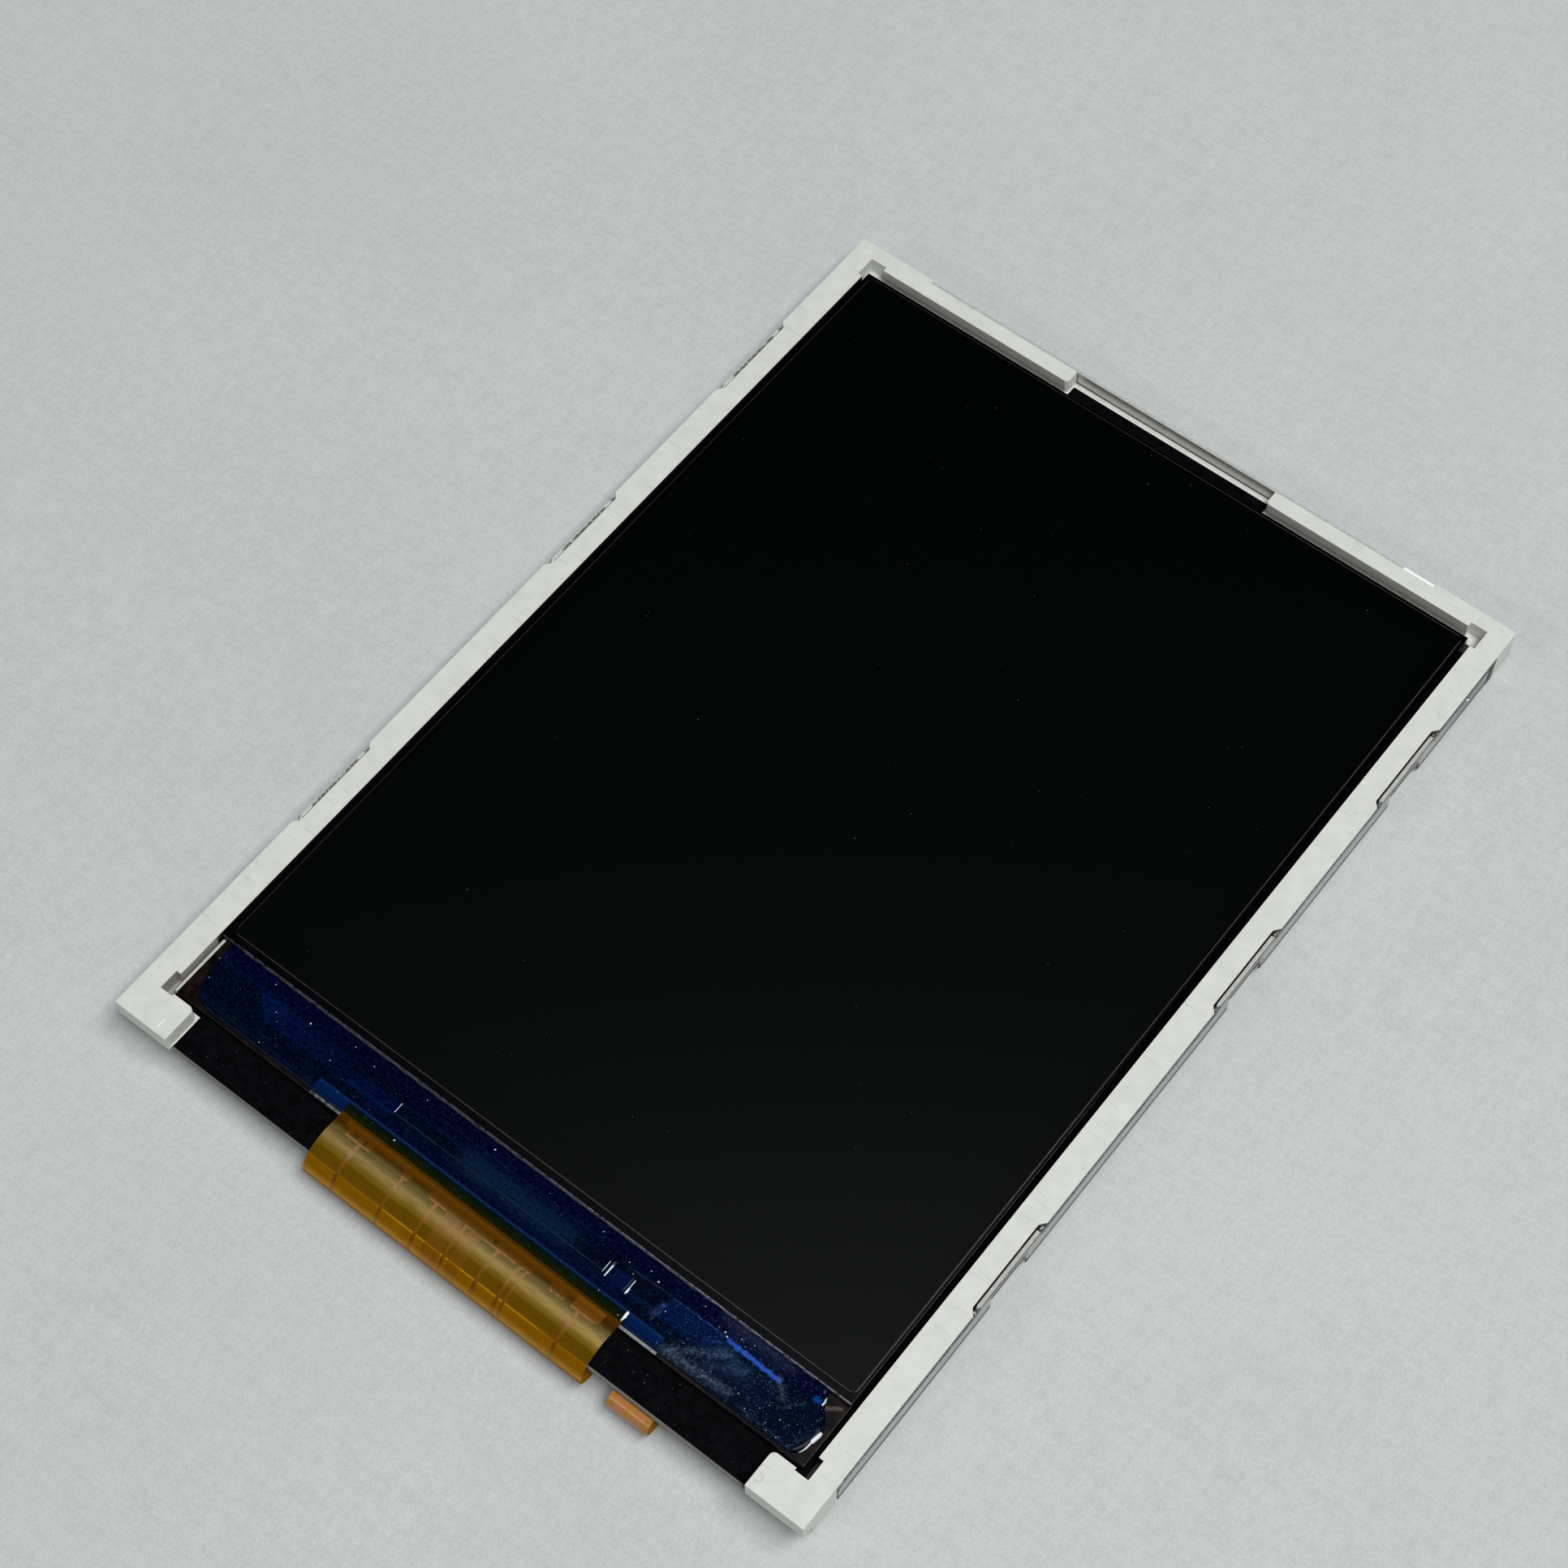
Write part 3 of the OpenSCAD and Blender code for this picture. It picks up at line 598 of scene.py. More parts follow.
# Each tab's inner half is a mask for painted shade beside the frame's notch.
on_tab = notch_shade = 0.0
for middle in tab_middles:
    on_tab = on_tab + steel.y.within(middle - half_tab, middle + half_tab, 0.3)
    inner_part = steel.y.within(middle - 1.65, middle + 1.85, 0.3)
    notch_shade = notch_shade + inner_part * steel.x.rise(-21.28, 0.03)
sheared = steel.z.within(wall_top - 0.03, wall_top + 0.02, 0.01) + steel.z.rise(tab_top - 0.03, 0.01)
sheared = (sheared + steel.z.rise(2.14, 0.01) * steel.y.rise(29.5, 0.1)).kept()
side_face = steel_x.rise(tray_side - 0.02, 0.02)
lower_face = steel_x.rise(tray_side - 0.12, 0.04) + steel.y.rise(tray_high[1] - 0.12, 0.04)
# Painted shade along the foot of each fold, and a painted shadow line just under the frame's lip.
foot_shade = lower_face.kept() * (1 - steel.z.rise(0.72, 0.30))
below_edge = wall_top + on_tab * (tab_top - wall_top) - steel.z
patchy = 0.55 + steel.noise(0.25, 2.0, (1, 1, 0)).rise(0.5, 0.3) * 0.45
lip_shadow_line = side_face * (1 - below_edge.rise(0.34, 0.10)) * patchy
# Painted shade: the side walls grow darker towards the far end.
steel.paint(side_face * steel.y.rise(24.0, 3.0) * 0.5, (120, 124, 122))
# Painted shade at the foot of the walls, and the painted shadow line under the lip.
steel.paint((foot_shade * 0.85 + lip_shadow_line * (1 - burrs * 0.3)).kept(), (54, 54, 50))

# %% Steel tray: the cut edge, with painted shade and a painted highlight
# Painted shade on the tops of the side walls between the tabs, which lie under the frame's lip.
under_lip_shade = steel_x.rise(tray_side - 0.3, 0.02) * (1 - steel.z.rise(wall_top + 0.05, 0.02))
left_tab_top = (1 - steel.x.rise(0.0, 0.1)) * steel.z.rise(tab_top - 0.05, 0.02) * on_tab
# A painted highlight on the far wall's top edge.
far_painted_glint = steel.x.within(14.5, 16.8, 0.1) * steel.y.rise(29.5, 0.1)
# The matt cut edge with painted shade under the lip, then pale left tab tops, painted shade on their
# inner half, paler burrs and the painted highlight.
cut_edge_shade_and_glint = steel.mix(under_lip_shade * (1 - burrs * 0.6), (168, 169, 165), (60, 60, 57))
for mask, card in ((left_tab_top, (186, 189, 183)),
                   (left_tab_top * notch_shade * (1 - burrs * 0.25), (84, 87, 80)),
                   (burrs * 0.4, (200, 201, 198)), (far_painted_glint, (244, 246, 246))):
    cut_edge_shade_and_glint = steel.mix(mask, cut_edge_shade_and_glint, card)
steel.feed("Base Color", steel.mix(sheared, steel.colour, cut_edge_shade_and_glint))
steel.feed("Metallic", 1 - sheared)
steel.feed("Roughness", 0.26 + grain * 0.14 + smear * 0.1 + sheared * 0.25)
steel.relief(grain + steel.noise(0.9, 2.0) * 1.5, 0.003)
add_piece("steel_tray", softened("rear_tray", 0.03, 2), steel, ["rear_tray"])

# %% [markdown]
# ## Black rim tape
# A matt black adhesive tape on the frame's shelf. Dust sticks to its bare stretches.

# %% Rim tape
tape = Finish("black_tape", Roughness=0.6, Specular_IOR_Level=0.03)
weave = tape.noise(2.5, 4.0)
lint = tape.noise(9.0, 2.0).rise(0.66, 0.08) * weave
tape.colour = tape.mix(lint * 0.10, tape.shades(weave, (0, 0, 1), (7, 8, 11)), (70, 72, 78))
tape.settle(weave + tape.noise(12.0, 2.0) * 0.3, 0.012)
dress(tape, "rim_tape")

# %% [markdown]
# ## Glass cell
# Two glasses and two polarizers. The front polarizer is nearly black, with a faint grain from the rows
# of dots below it. Its cut edge and the ground edges of the glass show as thin pale lines; along the
# lower glass's left edge that line is partly a painted highlight.

# %% Polarizer
screen_low, screen_high = box_mm("front_polarizer")
dot_pitch = 0.153

screen = Finish("front_polarizer", Roughness=0.13, Specular_IOR_Level=0.36)
rows = 0.5 + (screen.y * (2 * math.pi / dot_pitch)).wave() * 0.5
lit_area = screen.patch((-18.36, 18.36), (-22.1, 26.85), 0.03)
cut_width = 0.05
inside_cut = screen.patch((screen_low[0] + cut_width, screen_high[0] - cut_width),
                          (screen_low[1] + cut_width, screen_high[1] - cut_width), 0.012)
nicks = (0.25 + screen.noise(5.0, 3.0) * 0.6) * (0.7 + screen.x.rise(0.0, 20.0) * 0.5)
screen.colour = screen.mix(lit_area * rows * 0.4, (0, 1, 1), (3, 5, 4))
screen.paint((1 - inside_cut) * nicks, (72, 70, 68))
screen.settle(screen.noise(30.0, 1.0), 0.0006)

# %% Glass
glass = Finish("cell_glass", Roughness=0.06, Specular_IOR_Level=0.30)
ledge_low, ledge_high = box_mm("array_glass")
upper_low = box_mm("filter_glass")[0]
ledge_z = ledge_high[2]
chips = glass.noise(6.0, 3.0)
# The pale line along the lower glass's left edge: partly its ground edge, partly a painted highlight.
left_edge_and_highlight = glass.x.within(ledge_low[0] + 0.05, ledge_low[0] + 0.20, 0.03)
left_edge_and_highlight = left_edge_and_highlight * (1 - glass.y.rise(upper_low[1] - 0.05, 0.05))
near_line = (1 - glass.y.rise(upper_low[1] + 0.085, 0.03)) * glass.z.rise(ledge_z + 0.2, 0.05)
speckle = near_line * chips.rise(0.45, 0.30) * (0.28 + glass.x.rise(4.0, 20.0) * 0.58)
from_streak = glass.from_line((18.55, -24.92), (19.15, -24.50)) + (chips - 0.5) * 0.12
glass.colour = glass.mix(glass.noise(1.6, 4.0).rise(0.5, 0.3), (3, 2, 2), (25, 17, 15))
glass.paint((1 - from_streak.rise(0.10, 0.14)) * (0.15 + chips * 0.6), (104, 92, 88))
glass.paint(glass.z.rise(ledge_z + 0.03, 0.02), (1, 1, 3))
glass.paint(speckle, (112, 116, 124))
# Partly the ground edge's own pale colour, partly a painted highlight caught in the edge.
glass.paint(left_edge_and_highlight * chips.rise(0.3, 0.2), (186, 189, 183))
glass.feed("Base Color", glass.colour)

for name, node, round_mm, finish, slot in (
        ("polarizer_film", "front_polarizer", 0.02, screen, "polarizer"),
        ("upper_glass", "filter_glass", 0.04, glass, "cell_glass"),
        ("lower_glass", "array_glass", 0.04, glass, "cell_glass")):
    add_piece(name, softened(node, round_mm, 1), finish, [node])

# %% [markdown]
# ## Blue gel
# The gel is poured along the ledge and levels itself. It ends in a round bead, climbs the upper
# glass a little and makes a low ridge over the driver chip. A height for each point of a fine grid
# gives that shape, and each point keeps how much gel lies over it.

# %% Gel shape
gel_low, gel_high = box_mm("ledge_gel")
chip_low, chip_high = box_mm("driver_chip")
gel_near, gel_far = gel_low[1] + 0.08, gel_high[1]
left_outline = [(-27.61, -17.5), (-27.50, -18.15), (-27.2, -18.58), (-26.7, -18.92), (-26.1, -19.13),
                (-25.3, -19.19), (-24.15, -19.24)]
right_outline = [(-27.61, 18.3), (-27.46, 18.74), (-27.1, 19.02), (-26.6, 19.17), (-26.2, 19.24),
                 (-25.8, 19.18), (-25.4, 18.95), (-25.05, 18.66), (-24.75, 18.46), (-24.15, 18.24)]


def along_outline(points, y):
    """A smooth curve through the outline's points, so that the bead has no corners."""
    spots = [points[0]] + points + [points[-1]]
    for k in range(1, len(points)):
        (ya, xa), (yb, xb), (yc, xc), (yd, xd) = spots[k - 1], spots[k], spots[k + 1], spots[k + 2]
        if y <= yc or k == len(points) - 1:
            t = share((y - yb) / (yc - yb))
            leave = (xc - xa) / (yc - ya) * (yc - yb)
            reach_in = (xd - xb) / (yd - yb) * (yc - yb)
            return ((2 * t ** 3 - 3 * t ** 2 + 1) * xb + (t ** 3 - 2 * t ** 2 + t) * leave
                    + (3 * t ** 2 - 2 * t ** 3) * xc + (t ** 3 - t ** 2) * reach_in)
    return points[-1][1]


def swell(distance, width):
    """Height of a round bead, 0 at its foot and 1 from `width` inwards."""
    return math.sqrt(1 - (1 - share(distance / width)) ** 2)


bead_left, bead_right, bead_near = 0.55, 0.40, 0.30


def gel_cover(x, y, left, right):
    """How much gel lies over a point, from 0 at its edges to 1 where it is deep."""
    return min(swell(x - left, bead_left), swell(right - x, bead_right), swell(y - gel_near, bead_near))


gel_depth, furrow_depth = 0.19, 0.05
ridge_high, ridge_wide = 0.060, 0.38
climb_high, climb_wide = 0.10, 0.22
# Furrows across the gel: middle in X, width, and the stretch of Y.
furrows = [(6.62, 0.06, -26.1, -25.4), (-6.80, 0.06, -26.05, -25.4), (7.75, 0.07, -26.3, -25.4),
           (8.62, 0.08, -28.0, -26.85)]


def gel_height(x, y, cover):
    chip_away = max(chip_low[0] - x, x - chip_high[0], chip_low[1] - y, y - chip_high[1], 0.0)
    ridge = ridge_high * max(0.0, 1 - chip_away / ridge_wide) ** 2
    climb = climb_high * max(0.0, 1 - (gel_far - y) / climb_wide) ** 2
    sunk = sum(furrow_depth * math.exp(-((x - middle) / wide) ** 2)
               for middle, wide, start, end in furrows if start < y < end)
    ripple = 0.006 * math.sin(1.9 * x + 0.7 * math.sin(3.1 * y)) + 0.004 * math.sin(5.3 * x + 4 * y)
    return ledge_z + (gel_depth + ripple + ridge - sunk) * cover + climb


# %% Gel mesh
columns, rows_of_gel = 560, 44
points, faces, covers = [], [], []
for j in range(rows_of_gel + 1):
    y = gel_near + (gel_far - gel_near) * (j / rows_of_gel) ** 1.15
    left, right = along_outline(left_outline, y), along_outline(right_outline, y)
    for i in range(columns + 1):
        x = left + (right - left) * i / columns
        cover = gel_cover(x, y, left, right)
        covers.append(cover)
        points.append((x, y, gel_height(x, y, cover)))
row = columns + 1
for j in range(rows_of_gel):
    for i in range(columns):
        a = j * row + i
        faces.append((a, a + 1, a + 1 + row, a + row))
rim = list(range(row)) + [j * row + columns for j in range(1, rows_of_gel + 1)]
rim += [rows_of_gel * row + i for i in range(columns - 1, -1, -1)]
rim += [j * row for j in range(rows_of_gel - 1, 0, -1)]
foot = []
for k in rim:
    foot.append(len(points))
    points.append((*points[k][:2], ledge_z - 0.01))
    covers.append(0.0)
for k in range(len(rim)):
    n = (k + 1) % len(rim)
    faces.append((rim[n], rim[k], foot[k], foot[n]))
faces.append(tuple(reversed(foot)))
gel_mesh = plain_mesh("blue_gel", points, faces)
gel_mesh.attributes.new("cover", "FLOAT", "POINT").data.foreach_set("value", covers)
shade_smooth(gel_mesh, 60)
print("gel height", round(max(p[2] for p in points) - ledge_z, 3), "mm")

# %% [markdown]
# The gel is clear blue over dark glass, so what shows is the wiring below it: pads, the chip, and
# the band of bonding film. Each is a soft patch of another blue. The glossy top gives the wet look,
# and pale smears are marks of the nozzle and of dust that fell in before the gel set.

# %% Gel finish: wiring under the gel
gel = Finish("blue_gel", Roughness=0.07, Specular_IOR_Level=0.04, Coat_Roughness=0.05)
gel.x, gel.y = gel.x - 0.04, gel.y + 0.04
cloud = gel.noise(1.6, 5.0)
fine = gel.noise(7.0, 3.0)
grit = gel.noise(16.0, 2.0)
gel.colour = gel.mix(cloud, (0, 3, 16), (1, 8, 27))
# Each stretch of wiring: limits in X and in Y, softness, paint card, strength.
wiring = [
    ((-19.3, 18.2), (-24.95, -24.18), 0.25, (0, 1, 34), 0.95),
    ((-12.0, -2.5), (-25.00, -24.18), 3.00, (0, 0, 17), 0.7),
    ((-19.3, -14.6), (-25.12, -24.95), 0.05, (2, 12, 52), 0.55),
    ((12.5, 16.2), (-24.7, -24.18), 1.20, (28, 34, 60), 0.75),
    ((-9.75, -6.7), (-26.25, -25.45), 0.05, (0, 8, 46), 0.95),
    ((-9.75, -6.9), (-26.24, -26.02), 0.10, (0, 23, 62), 0.85),
    ((-6.68, 6.28), (-25.43, -24.95), 0.10, (0, 2, 29), 0.8),
    ((-8.2, 8.0), (-26.90, -26.28), 0.10, (0, 4, 33), 0.9),
    ((1.0, 8.0), (-26.90, -26.28), 2.00, (0, 8, 44), 0.7),
    ((-6.68, 6.28), (-26.03, -25.43), 0.03, (0, 4, 18), 1.0),
    ((-2.8, 4.2), (-26.01, -25.45), 1.60, (14, 42, 72), 0.95),
    ((-6.68, 6.28), (-26.06, -26.00), 0.03, (22, 42, 68), 0.85),
    ((-6.68, 6.28), (-25.46, -25.42), 0.03, (12, 28, 54), 0.7),
    ((-4.9, 5.4), (-24.87, -24.83), 0.05, (14, 26, 62), 0.7),
    ((-5.6, 5.4), (-25.34, -25.28), 0.05, (16, 28, 66), 0.7),
    ((6.62, 7.72), (-26.25, -25.45), 0.05, (0, 16, 54), 0.95),
    ((6.7, 7.65), (-26.62, -26.2), 0.25, (0, 12, 46), 0.8),
    ((-8.4, -7.1), (-26.6, -26.22), 0.20, (0, 9, 42), 0.8),
    ((7.9, 9.5), (-26.28, -25.95), 0.08, (2, 20, 50), 0.8),
    ((9.6, 13.3), (-26.25, -25.05), 0.10, (0, 20, 60), 0.95),
    ((12.9, 16.4), (-27.4, -25.3), 0.50, (2, 18, 42), 0.6),
    ((16.4, 19.0), (-27.2, -25.0), 0.60, (0, 12, 32), 0.5),
]
texture = 0.50 + cloud * 0.35 + fine * 0.35 + grit * 0.25
for across, along, soft, card, strength in wiring:
    gel.paint(gel.patch(across, along, soft) * texture * strength, card)

# %% Gel finish: pads under the gel
slant = (gel.x + 16.35 + (gel.y + 25.12) * 1.10).rise(0.0, 0.10)
pads = gel.patch((-17.6, -9.75), (-26.26, -25.08), 0.05) * slant
pad_light = gel.ramp(gel.x * 0.1 + 2.0, (0.45, (0, 18, 62)), (0.85, (0, 9, 43)), (1.0, (0, 5, 34)))
gel.paint(pads * (0.55 + cloud * 0.4 + fine * 0.2), pad_light)
for across in ((-14.05, -13.65), (-12.95, -12.6), (-11.0, -10.65)):
    gel.paint(gel.patch(across, (-25.98, -25.68), 0.20) * 0.7, (0, 2, 20))
gel.paint(fine.rise(0.57, 0.20) * 0.28, (6, 28, 66))
gel.paint((1 - fine.rise(0.45, 0.22)) * 0.55, (0, 1, 8))

# %% Gel finish: flex and film under the gel
lobes = gel.patch((-10.85, 10.65), (-27.70, -26.82), 0.05)
lobe_light = gel.ramp(gel.y * 0.5 + 14.0, (0.15, (0, 17, 50)), (0.43, (1, 26, 68)),
                      (0.52, (3, 32, 76)), (0.56, (11, 39, 80)))
gel.paint(lobes * (0.8 + fine * 0.2), lobe_light)
under_flex = gel.patch((-8.86, 8.62), (-27.9, -26.94), 0.04)
flex_light = gel.ramp(gel.y + 28.0, (0.36, (42, 28, 1)), (0.52, (25, 22, 0)), (0.78, (8, 19, 4)),
                      (0.96, (4, 15, 12)))
gel.paint(under_flex * (0.95 + fine * 0.15), flex_light)

# %% Gel finish: smears
streak = gel.from_line((13.1, -25.10), (16.1, -25.20)) + (gel.noise(4.0, 4.0, (1, 2, 1)) - 0.5) * 0.30
gel.paint((1 - streak.rise(0.10, 0.14)) * (0.55 + grit * 0.7), (38, 80, 176))
gel.paint(gel.patch((17.85, 18.25), (-24.96, -24.70), 0.10), (4, 50, 122))
# Each smear: start, end, width, paint card, strength.
smears = [
    ((7.2, -25.14), (9.6, -25.04), 0.05, (44, 60, 104), 0.9),
    ((9.8, -25.06), (13.0, -25.02), 0.06, (52, 80, 150), 0.9),
    ((9.6, -25.6), (9.4, -26.3), 0.15, (66, 84, 150), 0.8),
    ((10.9, -27.3), (13.5, -25.6), 0.34, (78, 100, 126), 0.60),
    ((11.2, -27.25), (14.6, -27.1), 0.30, (84, 104, 126), 0.85),
    ((12.6, -26.9), (14.6, -25.7), 0.26, (60, 86, 118), 0.50),
    ((13.2, -26.5), (15.0, -26.1), 0.45, (34, 58, 88), 0.4),
    ((13.3, -25.5), (14.4, -25.9), 0.45, (44, 74, 108), 0.6),
    ((12.1, -25.75), (12.9, -25.4), 0.12, (40, 70, 140), 0.5),
    ((9.7, -25.9), (9.5, -26.5), 0.10, (60, 84, 130), 0.5),
    ((16.0, -25.05), (16.8, -25.8), 0.20, (84, 102, 124), 0.62),
    ((17.0, -26.1), (17.7, -25.3), 0.12, (66, 86, 108), 0.42),
    ((15.2, -27.3), (18.4, -27.42), 0.12, (54, 70, 90), 0.5),
    ((18.4, -27.0), (18.8, -26.4), 0.16, (40, 58, 70), 0.4),
    ((12.0, -24.3), (16.4, -24.35), 0.20, (42, 48, 76), 0.75),
    ((-18.8, -27.2), (-11.0, -27.3), 0.20, (18, 30, 56), 0.5),
    ((-18.9, -24.9), (-18.9, -24.6), 0.20, (30, 40, 90), 0.7),
]
leaning = gel.node("ShaderNodeCombineXYZ", None,
                   {0: gel.x * 0.5 + gel.y * 0.9, 1: gel.y * 2.6 - gel.x * 1.3, 2: 0.0})
brushed = gel.node("ShaderNodeTexNoise", None,
                   {"Vector": leaning, "Scale": 1.9, "Detail": 8.0, "Roughness": 0.68})
streaky = (brushed * 3.2 - 1.1).kept()
crumbs = gel.noise(7.5, 4.0, (1, 1, 1), 2.0).rise(0.54, 0.16)
for start, end, wide, card, strength in smears:
    wisp = gel.from_line(start, end) + (brushed - 0.5) * wide * 3.4
    veil = (1 - wisp.rise(wide * 0.55, wide * 1.4)) * (0.10 + streaky * 0.9) * (0.34 + crumbs * 1.1)
    gel.paint((veil * strength).kept(), card)

# %% Gel finish: dots, motes and thin edges
grid_x = (gel.x * (2 * math.pi / 0.27)).wave().rise(0.55, 0.4)
grid_y = ((gel.y + 25.53) * (2 * math.pi / 0.2)).wave().rise(0.4, 0.4)
dots = gel.patch((14.6, 16.3), (-25.95, -25.5), 0.05) * grid_x * grid_y
gel.paint(dots * 0.45, (44, 76, 116))
haze_side = 0.22 + gel.x.rise(10.5, 4.0) * 0.78
motes = gel.noise(10.0, 1.0, (1, 1, 1), 6.0).rise(0.67, 0.08) * haze_side
gel.paint(motes * 0.45, (62, 82, 114))
cover_here = gel.attribute("cover")
gel.paint((1 - (cover_here * 1.6).kept()) * 0.8, (12, 12, 15))

# %% Gel finish: painted highlights where the gel turns down
# Painted highlights stand for the lamp caught in the narrow furrows at the chip's ends and round the
# bead on the right.
painted_glints = [((-6.80, -25.45), (-6.80, -26.00), 0.022), ((6.27, -25.50), (6.27, -26.08), 0.014),
          ((6.49, -25.56), (6.48, -26.18), 0.024), ((7.79, -25.50), (7.79, -26.28), 0.022),
          ((7.80, -26.0), (7.80, -26.2), 0.055), ((8.50, -26.90), (8.50, -27.62), 0.040),
          ((8.51, -26.95), (8.51, -27.2), 0.065), ((18.37, -24.38), (18.36, -24.86), 0.035),
          ((18.36, -24.40), (18.36, -24.6), 0.065), ((19.14, -25.98), (19.05, -26.50), 0.075),
          ((19.06, -26.50), (18.99, -27.0), 0.030), ((18.99, -27.0), (18.78, -27.52), 0.030)]
# Each line is a painted highlight, near white.
for start, end, wide in painted_glints:
    bright = 1 - (gel.from_line(start, end) + (fine - 0.5) * 0.03).rise(wide, 0.035)
    gel.paint(bright, (226, 234, 238))

# %% Gel finish: all of it
wet = (0.6 - cover_here.rise(0.55, 0.6) * 0.58) * (0.25 + gel.x.rise(15.0, 6.0) * 0.75)
gel.feed("Coat Weight", wet)
gel.settle(fine * 0.35 + cloud, 0.004)
add_piece("sealing_gel", gel_mesh, gel, ["ledge_gel"])

# %% [markdown]
# ## Folded flex
# Copper between sheets of amber polyimide. The sheet is shaded smooth. Each point keeps its distance
# along the sheet from the bonded end, so that zones can follow the fold: bare fingers, the dark band
# where the cover sheet starts, the metallic crown, a lighter stretch low on the bend that is a painted
# reflection of the paper, and a painted highlight along the fold.

# %% Path of the fold
flex_low, flex_high = box_mm("main_flex")
contact_low, contact_high = box_mm("tail_contacts")
bond_far = box_mm("bonding_film")[1][1]
cell_near = ledge_low[1]
crest, back_reach, fold_mid = 0.08, 0.95, 0.5
flex_top = flex_high[2] - crest
fold_y, fold_out = cell_near - 0.95, flex_low[1]
under_z, tail_z = standing_high[2], flex_low[2]
fold_back = fold_out + back_reach
stiffener_length, step_space, step_length = 5.0, 0.6, 1.2
step_far = contact_high[1] - stiffener_length - step_space
step_near = step_far - step_length


def bend(middle, wide, high, first, last, steps=24):
    turns = [math.radians(first + (last - first) * k / steps) for k in range(steps + 1)]
    return [(middle[0] + wide * math.cos(a), middle[1] + high * math.sin(a)) for a in turns]


outer = [(bond_far, flex_top), (cell_near, flex_top)]
outer += bend((fold_y, fold_mid), fold_y - fold_out, flex_high[2] - fold_mid, 90, 180)
outer += bend((fold_back, fold_mid), back_reach, fold_mid - under_z, 180, 270)[1:]
outer += [(step_near, under_z), (step_far, tail_z), (flex_high[1], tail_z)]
runs = [0.0]
for a, b in zip(outer, outer[1:]):
    runs.append(runs[-1] + math.dist(a, b))
print("the flex is", round(runs[-1], 1), "mm long from its bond to its end")


def nearest_run(y, z):
    """Distance along the sheet to the spot of the outer side that is nearest to (y, z)."""
    best = (1e9, 0.0)
    for (y0, z0), (y1, z1), r in zip(outer, outer[1:], runs):
        length = math.dist((y0, z0), (y1, z1))
        t = share(((y - y0) * (y1 - y0) + (z - z0) * (z1 - z0)) / length ** 2)
        gap = math.dist((y, z), (y0 + (y1 - y0) * t, z0 + (z1 - z0) * t))
        best = min(best, (gap, r + t * length))
    return best[1]


def thinned(mesh, by):
    """The sheet with its skin drawn in a little, so that the copper on it stays inside the solid."""
    for vertex, normal in zip(mesh.vertices, [v.normal.copy() for v in mesh.vertices]):
        vertex.co -= normal * (by * MM)
    return mesh


def keep_run(mesh):
    """Store each point's distance along the sheet, in millimetres."""
    values = [nearest_run(v.co.y / MM, v.co.z / MM) for v in mesh.vertices]
    mesh.attributes.new("run", "FLOAT", "POINT").data.foreach_set("value", values)
    return mesh


def path_between(start, end, lift):
    """The solid's outer side between two distances, raised or sunk a little, as a chain of edges."""
    stops = [start] + [r for r in runs if start + 0.01 < r < end - 0.01] + [end]
    spots = []
    for s in stops:
        k = max(i for i in range(len(runs) - 1) if runs[i] <= s + 1e-9)
        t = (s - runs[k]) / (runs[k + 1] - runs[k])
        (y0, z0), (y1, z1) = outer[k], outer[k + 1]
        run_y, run_z = y1 - y0, z1 - z0
        lean = lift / math.hypot(run_y, run_z)
        spots.append((0.0, y0 + run_y * t + run_z * lean, z0 + run_z * t - run_y * lean))
    return plain_mesh("path", spots, [], [(i, i + 1) for i in range(len(spots) - 1)])


# %% Amber polyimide
amber = Finish("amber_polyimide", Roughness=0.36, Specular_IOR_Level=0.02)
run = amber.attribute("run")
blot = amber.noise(0.7, 4.0)
crease = amber.noise(6.0, 4.0, (0.25, 1, 1))
zone = run + (blot - 0.5) * 0.10
ramp_length = 5.8


def along_sheet(finish, distance, stops):
    """Colours by the distance along the sheet, in millimetres."""
    return finish.ramp(distance / ramp_length, *[(place / ramp_length, card) for place, card in stops])


# Colours along the sheet; the lighter stretch low on the bend, from about 3.95 mm to 4.5 mm, is a
# painted reflection of the paper.
amber.colour = along_sheet(amber, zone, [
    (0.00, (30, 30, 4)), (0.66, (66, 42, 0)), (0.76, (72, 40, 0)), (1.02, (56, 31, 0)),
    (1.18, (62, 44, 12)), (1.32, (84, 70, 34)), (1.48, (134, 116, 68)), (1.85, (190, 163, 98)),
    (2.15, (174, 144, 74)), (2.36, (124, 96, 26)), (2.56, (90, 66, 3)), (2.95, (90, 64, 1)),
    (3.14, (100, 68, 0)), (3.30, (124, 82, 0)), (3.70, (130, 84, 0)), (3.95, (160, 114, 28)),
    (4.12, (188, 140, 62)), (4.30, (160, 114, 42)), (4.50, (146, 102, 26)), (5.75, (150, 100, 14))])
# A painted highlight: a bright yellow line along the fold.
painted_fold_highlight = run.within(3.16, 3.25, 0.03) * (0.25 + amber.x.within(-4.0, 5.6, 1.5) * 0.75) * (0.5 + blot)
amber.paint((crease.rise(0.55, 0.5) * 0.25).kept(), (70, 46, 4))
amber.paint((painted_fold_highlight * 0.6).kept(), (186, 136, 0))
amber.feed("Metallic", run.within(1.38, 2.35, 0.3) * 0.85)
amber.settle(crease + blot * 0.6, 0.006)
sheet_mesh = keep_run(thinned(smoothed("main_flex"), 0.010))
add_piece("folded_flex", sheet_mesh, amber, ["main_flex"])

# %% [markdown]
# ## Copper on the flex
# Fine fingers lie side by side at the bond, at a pitch of 0.12 mm. Groups of them end in a cross
# bar, and a wide trace runs from it round the fold. Each is a row made by the ribbon recipe on a path
# that follows the fold.

# %% Copper finishes and rows
copper = Finish("covered_copper", Roughness=0.36, Metallic=0.2, Specular_IOR_Level=0.05)
wear = copper.noise(5.0, 3.0)
